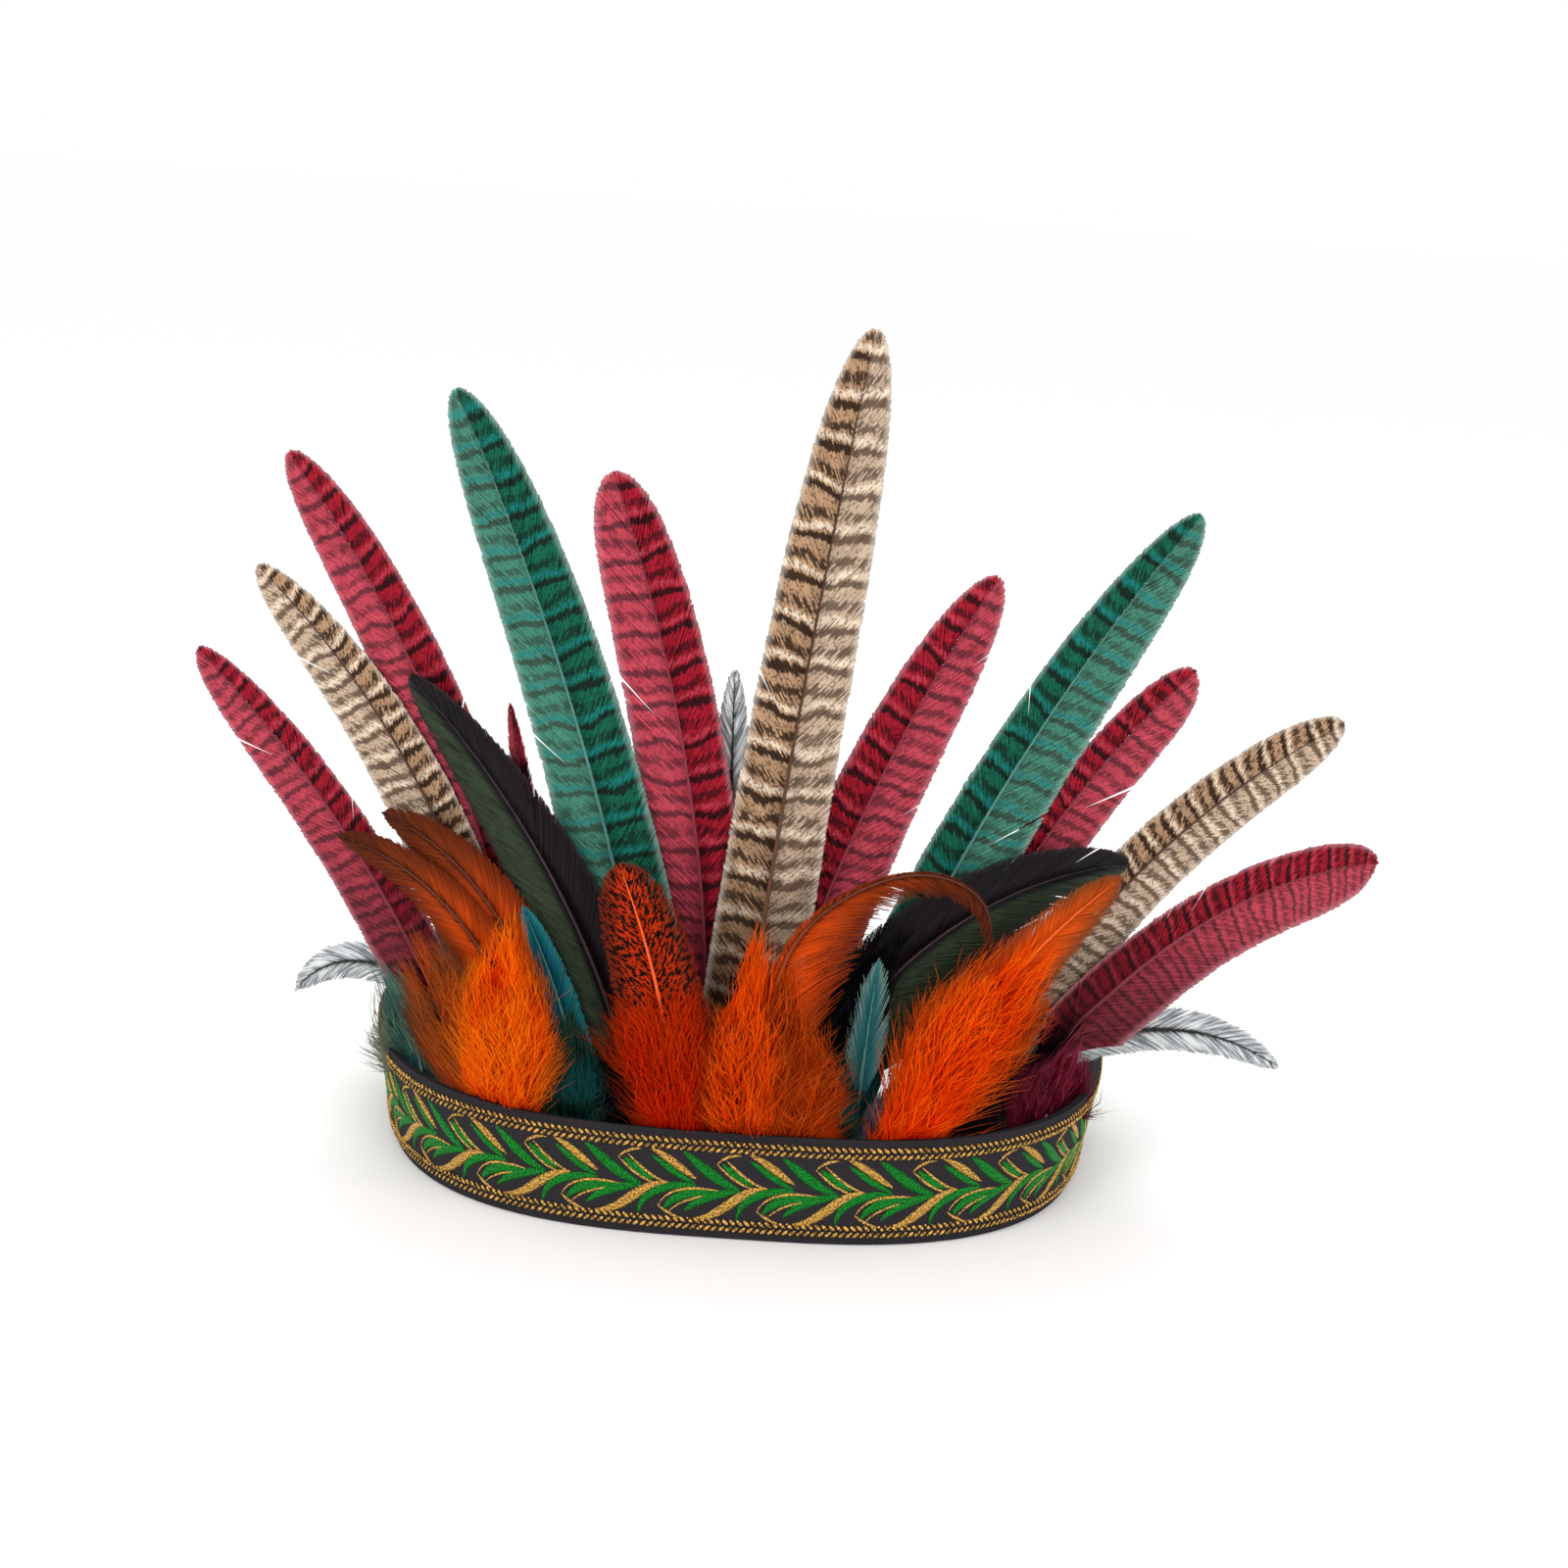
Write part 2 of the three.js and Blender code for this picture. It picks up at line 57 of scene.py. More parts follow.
# %% [markdown]
# The CAD model was drawn round the middle of the headband and then moved so that its own middle stands
# over the origin. The ribbon's box tells how far it was moved, so every size below can stay the one that
# the maker would measure on the headband.

# %% The headband's sizes and the move to the shared frame
MM = 0.001
BAND_HALF_WIDTH = 90
BAND_FRONT_DEPTH = 89
BAND_BACK_DEPTH = 84
BAND_EGG_SHAPE = 0.12
FRONT_SQUARENESS = 3
BACK_SQUARENESS = 2
SIDE_FLARE = math.radians(9.3)
RIBBON_HEIGHT = 25.4
RIBBON_THICKNESS = 1.8
QUILL_INSET = RIBBON_THICKNESS + 1.3
ribbon_low, ribbon_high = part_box("ribbon_band")
shift = np.array([(ribbon_low[0] + ribbon_high[0]) / 2 / MM, ribbon_low[1] / MM + BAND_FRONT_DEPTH, 0])
print("moved by", shift.round(3), "mm")

# %% [markdown]
# The headband is a rounded loop, squarer in front than behind, and its sides flare out a little towards
# the top as a ribbon does when it lies on a head. A point on it is found from its angle round the loop.

# %% Points on the headband
def signed_power(value, power):
    return np.sign(value) * np.abs(value) ** power


def plan_point(angle):
    squareness = np.where(np.cos(angle) > 0, FRONT_SQUARENESS, BACK_SQUARENESS)
    along = signed_power(np.cos(angle), 2 / squareness)
    across = signed_power(np.sin(angle), 2 / squareness)
    depth = np.where(along > 0, BAND_FRONT_DEPTH, BAND_BACK_DEPTH)
    return BAND_HALF_WIDTH * across * (1 - BAND_EGG_SHAPE * along), -depth * along


def wall_point(angle, height, inset):
    x, y = plan_point(angle)
    ahead = plan_point(angle + 0.002)
    behind = plan_point(angle - 0.002)
    along_x, along_y = ahead[0] - behind[0], ahead[1] - behind[1]
    length = np.hypot(along_x, along_y)
    out = height * np.tan(SIDE_FLARE * np.sin(angle) ** 2) - inset
    return x + along_y / length * out, y - along_x / length * out


fine_angles = np.linspace(-math.pi, math.pi, 8001)
fine_x, fine_y = plan_point(fine_angles)
fine_steps = np.hypot(np.diff(fine_x), np.diff(fine_y))
fine_lengths = np.concatenate([[0], np.cumsum(fine_steps)])
LOOP_LENGTH = fine_lengths[-1]
fine_lengths -= LOOP_LENGTH / 2


def on_ribbon(along, height, out):
    """A point on the ribbon: along it from the middle of the front, up it, and out from its face."""
    along = (np.asarray(along, float) + LOOP_LENGTH / 2) % LOOP_LENGTH - LOOP_LENGTH / 2
    angle = np.interp(along, fine_lengths, fine_angles)
    x, y = wall_point(angle, height, -np.asarray(out, float))
    return np.stack([x, y, np.broadcast_to(height, x.shape)], -1)


print("ribbon is", round(LOOP_LENGTH), "mm long")

# %% [markdown]
# The feathers stand behind the ribbon's front wall and open into a wide fan above it. One curved surface
# describes the whole fan: give it a place seen from the front and a layer, and it says how deep that
# place is. Because every feather is laid on this surface in its own layer, none cuts through another.

# %% The fan surface
def smooth_step(share):
    share = np.clip(share, 0, 1)
    return share * share * (3 - 2 * share)


def quill_row_y(x, height):
    reach = wall_point(math.pi / 2, height, QUILL_INSET)[0] * 0.91
    target = np.clip(x, -reach, reach)
    low = np.full_like(target, -math.pi / 2)
    high = -low
    for _ in range(26):
        middle = (low + high) / 2
        left = wall_point(middle, height, QUILL_INSET)[0] < target
        low = np.where(left, middle, low)
        high = np.where(left, high, middle)
    return wall_point(low, height, QUILL_INSET)[1]


def fan_y(x, z, depth):
    open_share = smooth_step((z - RIBBON_HEIGHT + 3) / 35)
    fan = np.hypot(60, 0.85 * x) - 60 - BAND_FRONT_DEPTH + QUILL_INSET
    row = quill_row_y(x, np.clip(z, 0, RIBBON_HEIGHT))
    lean = math.tan(math.radians(7)) * np.maximum(0, z - RIBBON_HEIGHT)
    layer = depth * smooth_step((z - 4) / 28)
    return row + (fan - row) * open_share - lean + layer


# How far forward of its layer, in mm, a feather may reach below the rim
FREE_REACH = 0.6


class Shaft:
    """The line of a feather's shaft, from the foot of its quill to its tip."""

    def __init__(self, row, steps=160):
        middle = (np.arange(steps) + 0.5) / steps
        lean = np.radians(row.lean_foot + (row.lean_tip - row.lean_foot) * middle ** row.bend)
        step = row.length / steps
        self.x = row.seat * BAND_HALF_WIDTH + np.concatenate([[0], np.cumsum(step * np.sin(lean))])
        self.z = 4 + np.concatenate([[0], np.cumsum(step * np.cos(lean))])
        self.lean = np.concatenate([[math.radians(row.lean_foot)], lean])
        self.shares = np.linspace(0, 1, steps + 1)
        self.row = row

    def start(self, height):
        return self.shares[np.argmax(self.z >= height)]

    def place(self, share, across, forward, floor=0.0):
        """A point beside the shaft: across to the right, forward towards the viewer. Below the rim the
        forward reach closes, so that nothing comes through the ribbon."""
        over = np.maximum(share - 1, 0) * self.row.length
        lean = np.interp(share, self.shares, self.lean)
        x = np.interp(share, self.shares, self.x) + over * np.sin(lean) + across * np.cos(lean)
        z = np.interp(share, self.shares, self.z) + over * np.cos(lean) - across * np.sin(lean)
        z = np.maximum(z, floor)
        reached = FREE_REACH + (forward - FREE_REACH) * smooth_step((z - RIBBON_HEIGHT) / 5)
        forward = np.where(forward > FREE_REACH, reached, forward)
        return np.stack([x, fan_y(x, z, self.row.depth) - forward, z], -1)


# %% [markdown]
# A barb is a thin blade that runs out from the shaft, and a vane is hundreds of them side by side. Each
# one is modelled as a closed three-sided sliver that narrows to a point. They are far too many to place
# by hand, so one routine turns a list of centre lines into slivers and joins them into one mesh.

# %% Slivers from centre lines
class Parts:
    """Collects points and triangles for one joined mesh."""

    def __init__(self):
        self.points, self.faces, self.finish = [], [], []
        self.maps = {}
        self.count = 0

    def add(self, points, faces, finish, **maps):
        points = points.reshape(-1, 3)
        self.points.append(points)
        self.faces.append(faces + self.count)
        self.finish.append(np.full(len(faces), finish))
        for name, values in maps.items():
            self.maps.setdefault(name, []).append(np.asarray(values, float).reshape(len(points), 2))
        self.count += len(points)


def sliver_faces(number, rings):
    """Faces of closed three-sided slivers: rings of three points and one point at the tip."""
    each = 3 * rings + 1
    faces = [[0, 1, 2]]
    for ring in range(rings - 1):
        for side in range(3):
            low, low_next = 3 * ring + side, 3 * ring + (side + 1) % 3
            faces += [[low, low + 3, low_next + 3], [low, low_next + 3, low_next]]
    last = 3 * (rings - 1)
    faces += [[last + side, each - 1, last + (side + 1) % 3] for side in range(3)]
    return (np.array(faces)[None] + each * np.arange(number)[:, None, None]).reshape(-1, 3)


def slivers(parts, centres, widths, heights, finish, outward=None, **maps):
    """centres is barb by ring by xyz with the tip last, widths and heights are barb by ring, and outward is
    the way that the broad side faces, towards the viewer if none is given."""
    if outward is None:
        outward = np.array([0.0, -1.0, 0.0])
    number, rings = centres.shape[0], centres.shape[1] - 1
    run = np.gradient(centres, axis=1)
    run /= np.linalg.norm(run, axis=2, keepdims=True) + 1e-9
    front = outward - run * np.sum(run * outward, axis=2, keepdims=True)
    front /= np.linalg.norm(front, axis=2, keepdims=True) + 1e-9
    side = np.cross(run, front)
    wide = widths[..., None] / 2 * side[:, :-1]
    tall = heights[..., None] * front[:, :-1]
    body = centres[:, :-1]
    ring_points = np.stack([body - wide - tall / 3, body + wide - tall / 3, body + tall * 2 / 3], 2)
    points = np.concatenate([ring_points.reshape(number, -1, 3), centres[:, -1:]], 1)
    spread = {}
    for name, values in maps.items():
        rings_values = np.repeat(values[:, :-1], 3, axis=1)
        spread[name] = np.concatenate([rings_values, values[:, -1:]], 1)
    parts.add(points, sliver_faces(number, rings), finish, **spread)


def tube(parts, centres, radii, finish, sides=8, flat=1.0):
    """A closed round bar through the centres, flat is its depth as a share of its width."""
    run = np.gradient(centres, axis=0)
    run /= np.linalg.norm(run, axis=1, keepdims=True)
    front = np.array([0.0, -1.0, 0.0]) - run * -run[:, 1:2]
    front /= np.linalg.norm(front, axis=1, keepdims=True)
    side = np.cross(run, front)
    turn = np.arange(sides) * 2 * math.pi / sides
    ring = np.cos(turn)[None, :, None] * side[:, None]
    ring = ring + flat * np.sin(turn)[None, :, None] * front[:, None]
    body = centres[:, None] + radii[:, None, None] * ring
    points = np.concatenate([body.reshape(-1, 3), centres[:1], centres[-1:]])
    count = len(centres)
    faces = []
    for i in range(sides):
        j = (i + 1) % sides
        for row in range(count - 1):
            a, b = row * sides + i, row * sides + j
            faces += [[a, b + sides, a + sides], [a, b, b + sides]]
        top = (count - 1) * sides
        faces += [[j, i, count * sides], [top + i, top + j, count * sides + 1]]
    share = np.concatenate([np.repeat(np.linspace(0, 1, count), sides), [0, 1]])
    blank = np.stack([np.zeros_like(share), share], -1)
    parts.add(points, np.array(faces), finish, vane=blank, barb=blank)


def build(name, parts, materials, node):
    points = (np.concatenate(parts.points) + shift) * MM
    faces = np.concatenate(parts.faces)
    mesh = bpy.data.meshes.new(name)
    mesh.vertices.add(len(points))
    mesh.vertices.foreach_set("co", points.astype(np.float32).ravel())
    mesh.loops.add(faces.size)
    mesh.loops.foreach_set("vertex_index", faces.ravel().astype(np.int32))
    mesh.polygons.add(len(faces))
    mesh.polygons.foreach_set("loop_start", np.arange(0, faces.size, 3, dtype=np.int32))
    mesh.update(calc_edges=True)
    for map_name, values in parts.maps.items():
        layer = mesh.uv_layers.new(name=map_name)
        layer.data.foreach_set("uv", np.concatenate(values)[faces.ravel()].astype(np.float32).ravel())
    for material in materials:
        mesh.materials.append(material)
    mesh.polygons.foreach_set("material_index", np.concatenate(parts.finish).astype(np.int32))
    mesh.polygons.foreach_set("use_smooth", np.ones(len(faces), bool))
    piece = bpy.data.objects.new(name, mesh)
    bpy.context.collection.objects.link(piece)
    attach(piece, "root")
    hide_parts(node)
    print(name, len(faces), "triangles")
    return piece


# %% [markdown]
# Materials are built from small helpers, so that a recipe reads as a list of steps. Each vane carries two
# maps: "vane" holds the distance from the shaft and the count of bars along the feather, and "barb" holds
# where a barb starts and how far along the barb a point is.

# %% Helpers for materials
def paint(red, green, blue):
    """A colour as it looks on screen, 0 to 255, turned into Blender's linear values."""
    def line(value):
        value = value / 255
        return value / 12.92 if value <= 0.04045 else ((value + 0.055) / 1.055) ** 2.4
    return line(red), line(green), line(blue), 1.0


def link(tree, socket, value):
    if isinstance(value, bpy.types.NodeSocket):
        tree.links.new(value, socket)
    elif value is not None:
        socket.default_value = value


def sums(tree, operation, first, second=None, third=None):
    node = tree.nodes.new("ShaderNodeMath")
    node.operation = operation
    for place, value in enumerate((first, second, third)):
        link(tree, node.inputs[place], value)
    return node.outputs[0]


def split(tree, vector):
    node = tree.nodes.new("ShaderNodeSeparateXYZ")
    link(tree, node.inputs[0], vector)
    return node.outputs[0], node.outputs[1]


def join(tree, x, y=0.0, z=0.0):
    node = tree.nodes.new("ShaderNodeCombineXYZ")
    for place, value in enumerate((x, y, z)):
        link(tree, node.inputs[place], value)
    return node.outputs[0]


def map_of(tree, name):
    node = tree.nodes.new("ShaderNodeUVMap")
    node.uv_map = name
    return node.outputs[0]


def times(tree, first, second):
    return sums(tree, "MULTIPLY", first, second)


def noise(tree, vector, scale=1.0, detail=2.0):
    node = tree.nodes.new("ShaderNodeTexNoise")
    link(tree, node.inputs["Vector"], vector)
    node.inputs["Scale"].default_value = scale
    node.inputs["Detail"].default_value = detail
    return node.outputs["Fac"]


def grain(tree, first, first_rate, second, second_rate, detail, layer=0.0):
    """Noise over two running values, each at its own rate."""
    place = join(tree, times(tree, first, first_rate), times(tree, second, second_rate), layer)
    return noise(tree, place, 1, detail)


def ease(tree, value, low, high):
    """0 below low, 1 above high, smooth between. With low above high it falls instead."""
    node = tree.nodes.new("ShaderNodeMapRange")
    node.interpolation_type = "SMOOTHSTEP"
    link(tree, node.inputs["Value"], value)
    flip = low > high
    node.inputs["From Min"].default_value = min(low, high)
    node.inputs["From Max"].default_value = max(low, high)
    node.inputs["To Min"].default_value = 1.0 if flip else 0.0
    node.inputs["To Max"].default_value = 0.0 if flip else 1.0
    return node.outputs[0]


def blend(tree, share, first, second):
    node = tree.nodes.new("ShaderNodeMix")
    node.data_type = "RGBA"
    link(tree, node.inputs["Factor"], share)
    link(tree, node.inputs["A"], first)
    link(tree, node.inputs["B"], second)
    return node.outputs["Result"]


def ramp(tree, value, *stops):
    node = tree.nodes.new("ShaderNodeValToRGB")
    link(tree, node.inputs[0], value)
    colours = node.color_ramp.elements
    while len(colours) < len(stops):
        colours.new(0.5)
    for element, (place, colour) in zip(colours, stops):
        element.position = place
        element.color = colour
    return node.outputs[0]


def group(name, inputs, outputs):
    tree = bpy.data.node_groups.new(name, "ShaderNodeTree")
    for title in inputs:
        tree.interface.new_socket(title, in_out="INPUT", socket_type="NodeSocketFloat")
    for title in outputs:
        tree.interface.new_socket(title, in_out="OUTPUT", socket_type="NodeSocketFloat")
    return tree, tree.nodes.new("NodeGroupInput"), tree.nodes.new("NodeGroupOutput")


def use(tree, effect, **values):
    node = tree.nodes.new("ShaderNodeGroup")
    node.node_tree = effect
    for title, value in values.items():
        link(tree, node.inputs[title], value)
    return node.outputs


def material(name, roughness, specular=0.5):
    made = bpy.data.materials.new(name)
    made.use_nodes = True
    shader = made.node_tree.nodes["Principled BSDF"]
    shader.inputs["Roughness"].default_value = roughness
    shader.inputs["Specular IOR Level"].default_value = specular
    return made, made.node_tree, shader


def bump(tree, height, distance, strength=1.0):
    node = tree.nodes.new("ShaderNodeBump")
    node.inputs["Strength"].default_value = strength
    node.inputs["Distance"].default_value = distance
    link(tree, node.inputs["Height"], height)
    return node.outputs[0]


# %% [markdown]
# A pheasant's tail is barred: a clean dark bar, a jagged pale edge above it, and a broken bar of dashes
# between. The bars are jagged because each barb carries its own piece of the pattern, a little out of
# step with its neighbours. One half of the vane, the one that lay uppermost on the bird, is strong and
# the other is paler. The group below works these out once for every barred feather, dyed or not.

# %% The barring of a pheasant tail
bars_group, given, put = group("pheasant_bars", ["Broken", "Speckle"],
                               ["Dark", "Pale", "Strong", "Fringe", "Barb tone"])
tree = bars_group
across, count = split(tree, map_of(tree, "vane"))
root, reach = split(tree, map_of(tree, "barb"))
barb_noise = grain(tree, root, 1.3, reach, 2.4, 1)
slow_noise = grain(tree, across, 0.12, count, 0.9, 1)
step = sums(tree, "MULTIPLY_ADD", sums(tree, "SUBTRACT", barb_noise, 0.5), 0.30, count)
step = sums(tree, "MULTIPLY_ADD", sums(tree, "SUBTRACT", slow_noise, 0.5), 0.55, step)
step = sums(tree, "MULTIPLY_ADD", sums(tree, "ABSOLUTE", across), -0.016, step)
place = sums(tree, "FRACT", step)
from_bar = sums(tree, "ABSOLUTE", sums(tree, "SUBTRACT", place, 0.5))
bar = ease(tree, from_bar, 0.11, 0.07)
between = sums(tree, "SUBTRACT", 0.5, from_bar)
dash_noise = grain(tree, root, 1.7, count, 2.2, 2, 3.0)
dashes = times(tree, ease(tree, between, 0.15, 0.09), ease(tree, dash_noise, 0.42, 0.48))
speck_noise = grain(tree, root, 1.6, across, 1.6, 2, 7.0)
specks = times(tree, ease(tree, speck_noise, 0.55, 0.60), given.outputs["Speckle"])
dark = sums(tree, "MAXIMUM", bar, times(tree, dashes, given.outputs["Broken"]))
dark = sums(tree, "MAXIMUM", dark, specks)
link(tree, put.inputs["Dark"], dark)
from_edge = sums(tree, "ABSOLUTE", sums(tree, "SUBTRACT", place, 0.72))
pale = ease(tree, from_edge, 0.10, 0.04)
link(tree, put.inputs["Pale"], pale)
link(tree, put.inputs["Strong"], ease(tree, across, -0.4, 0.4))
link(tree, put.inputs["Fringe"], ease(tree, reach, 0.80, 1.0))
link(tree, put.inputs["Barb tone"], noise(tree, join(tree, times(tree, root, 2.4)), 1, 0))


def barred(name, strong, weak, pale_colour, bar_strong, bar_weak, fringe, broken=0.85, speckle=0.5,
           pale_share=0.5):
    made, tree, shader = material(name, 0.65, 0.1)
    marks = use(tree, bars_group, Broken=broken, Speckle=speckle)
    ground = blend(tree, marks["Strong"], weak, strong)
    ground = blend(tree, times(tree, marks["Pale"], pale_share), ground, pale_colour)
    dark = blend(tree, marks["Strong"], bar_weak, bar_strong)
    colour = blend(tree, marks["Dark"], ground, dark)
    # Painted shade: over its lowest 66 mm the vane darkens towards the strong bar colour, for the shadow
    # that falls between the feathers over the rim.
    root = split(tree, map_of(tree, "barb"))[0]
    foot = ease(tree, sums(tree, "MODULO", root, 300.0), 66.0, 4.0)
    colour = blend(tree, times(tree, foot, 0.7), colour, bar_strong)
    tone = sums(tree, "MULTIPLY_ADD", marks["Barb tone"], 0.9, 0.55)
    shade = tree.nodes.new("ShaderNodeHueSaturation")
    link(tree, shader.inputs["Base Color"], blend(tree, times(tree, marks["Fringe"], 0.45),
                                                  shade.outputs[0], fringe))
    link(tree, shade.inputs["Color"], colour)
    link(tree, shade.inputs["Value"], tone)
    return made


burgundy_vane = barred("burgundy_vane", paint(160, 22, 42), paint(186, 66, 82), paint(206, 84, 100),
                       paint(52, 10, 18), paint(108, 44, 54), paint(220, 150, 160), 0.85, 0.6, 0.35)
tan_vane = barred("tan_vane", paint(180, 144, 112), paint(198, 174, 150), paint(236, 218, 196),
                  paint(60, 42, 30), paint(112, 92, 76), paint(232, 220, 206), 0.95, 0.7, 0.8)
teal_vane = barred("teal_vane", paint(16, 98, 76), paint(70, 134, 114), paint(22, 132, 132),
                   paint(18, 40, 32), paint(56, 84, 70), paint(170, 200, 190), 0.85, 0.6, 0.6)
print("barred materials:", [made.name for made in (burgundy_vane, tan_vane, teal_vane)])

# %% [markdown]
# Coque, hackle and shaft colours are simpler. Coque is black with a green bloom on one half and purple on
# the other, badger hackle is pale grey with a dark centre, and the rust hackles are orange with a brown
# tip and a dark streak by the shaft.

# %% Plain vanes and shafts
def streaks(tree):
    across, count = split(tree, map_of(tree, "vane"))
    root, reach = split(tree, map_of(tree, "barb"))
    tone = grain(tree, root, 0.9, reach, 1.2, 3)
    return across, count, root, reach, tone


def shaded(tree, shader, colour, tone, low=0.6, span=0.8):
    shade = tree.nodes.new("ShaderNodeHueSaturation")
    link(tree, shade.inputs["Color"], colour)
    link(tree, shade.inputs["Value"], sums(tree, "MULTIPLY_ADD", tone, span, low))
    link(tree, shader.inputs["Base Color"], shade.outputs[0])


dark_vane, tree, shader = material("dark_vane", 0.42, 0.2)
across, count, root, reach, tone = streaks(tree)
bloom = blend(tree, ease(tree, across, -0.6, 0.6), paint(22, 12, 17), paint(46, 60, 40))
mottle = grain(tree, root, 0.8, across, 0.5, 2)
bloom = blend(tree, times(tree, ease(tree, mottle, 0.45, 0.7), 0.6), bloom, paint(8, 7, 8))
bloom = blend(tree, ease(tree, reach, 0.8, 1.0), bloom, paint(40, 30, 34))
by_shaft = ease(tree, sums(tree, "ABSOLUTE", across), 2.5, 0.5)
shaded(tree, shader, blend(tree, by_shaft, bloom, paint(6, 5, 7)), tone)

badger_vane, tree, shader = material("badger_vane", 0.6, 0.15)
across, count, root, reach, tone = streaks(tree)
width = sums(tree, "MULTIPLY_ADD", count, 1.5, sums(tree, "ABSOLUTE", across))
centre = ease(tree, sums(tree, "MULTIPLY_ADD", tone, 2.0, width), 3.0, 1.9)
pale = blend(tree, ease(tree, tone, 0.4, 0.6), paint(140, 146, 150), paint(226, 229, 230))
shaded(tree, shader, blend(tree, centre, pale, paint(34, 34, 38)), tone, 0.8, 0.4)

rust_vane, tree, shader = material("rust_vane", 0.6, 0.08)
across, count, root, reach, tone = streaks(tree)
along = ramp(tree, count, (0.0, paint(246, 84, 2)), (0.35, paint(214, 76, 8)), (0.7, paint(126, 48, 12)),
             (1.0, paint(76, 32, 14)))
along = blend(tree, times(tree, ease(tree, reach, 0.25, 1.0), 0.7), along, paint(96, 36, 10))
centre = ease(tree, sums(tree, "MULTIPLY_ADD", tone, 3.0, sums(tree, "ABSOLUTE", across)), 2.8, 1.6)
shaded(tree, shader, blend(tree, times(tree, centre, 0.8), along, paint(60, 24, 10)), tone, 0.25, 1.5)


def teal_fibres(name, inner, outer):
    made, tree, shader = material(name, 0.6, 0.12)
    across, count, root, reach, tone = streaks(tree)
    shaded(tree, shader, blend(tree, ease(tree, reach, 0.3, 1.0), inner, outer), tone)
    return made


plain_teal = teal_fibres("plain_teal", paint(8, 96, 112), paint(40, 128, 132))
pale_teal = teal_fibres("pale_teal", paint(40, 112, 116), paint(128, 164, 156))

spotted_vane, tree, shader = material("spotted_vane", 0.6, 0.08)
across, count, root, reach, tone = streaks(tree)
spots = grain(tree, root, 1.1, across, 1.0, 1)
spots = times(tree, ease(tree, spots, 0.47, 0.54), ease(tree, reach, 0.98, 0.85))
ember_ground = blend(tree, ease(tree, reach, 0.3, 1.0), paint(196, 50, 4), paint(132, 40, 12))
shaded(tree, shader, blend(tree, spots, ember_ground, paint(30, 12, 8)), tone)

flame_vane, tree, shader = material("flame_vane", 0.6, 0.06)
across, count, root, reach, tone = streaks(tree)
flame_ground = ramp(tree, count, (0.2, paint(238, 72, 2)), (0.6, paint(216, 84, 14)),
                    (1.0, paint(150, 66, 22)))
flame = blend(tree, ease(tree, reach, 0.35, 1.0), flame_ground, paint(150, 74, 34))
shaded(tree, shader, flame, tone, 0.4, 1.2)


def shaft_material(name, foot, tip):
    made, tree, shader = material(name, 0.4, 0.2)
    share = split(tree, map_of(tree, "barb"))[1]
    spots = noise(tree, join(tree, times(tree, share, 40.0)), 1, 2)
    colour = ramp(tree, share, (0.15, foot), (0.6, tip))
    shaded(tree, shader, colour, spots, 0.7, 0.6)
    return made


burgundy_shaft = shaft_material("burgundy_shaft", paint(70, 12, 26), paint(128, 44, 60))
tan_shaft = shaft_material("tan_shaft", paint(120, 84, 60), paint(76, 46, 30))
teal_shaft = shaft_material("teal_shaft", paint(12, 44, 48), paint(78, 128, 120))
dark_shaft = shaft_material("dark_shaft", paint(8, 6, 8), paint(60, 40, 46))
badger_shaft = shaft_material("badger_shaft", paint(40, 40, 42), paint(30, 28, 30))
rust_shaft = shaft_material("rust_shaft", paint(220, 84, 16), paint(96, 44, 22))
orange_shaft = shaft_material("orange_shaft", paint(226, 52, 4), paint(246, 96, 34))

# %% [markdown]
# The table lists the flat feathers. seat is the quill's place as a share of the band's half width, lean
# is in degrees to the right, bend above 1 keeps the turn for the tip, depth is the layer, width is the
# full vane, left is the share of it on the left, bare is the quill above the rim, round is how blunt the
# tip is, strong is the side with the stronger bars and bar is the distance between bars.

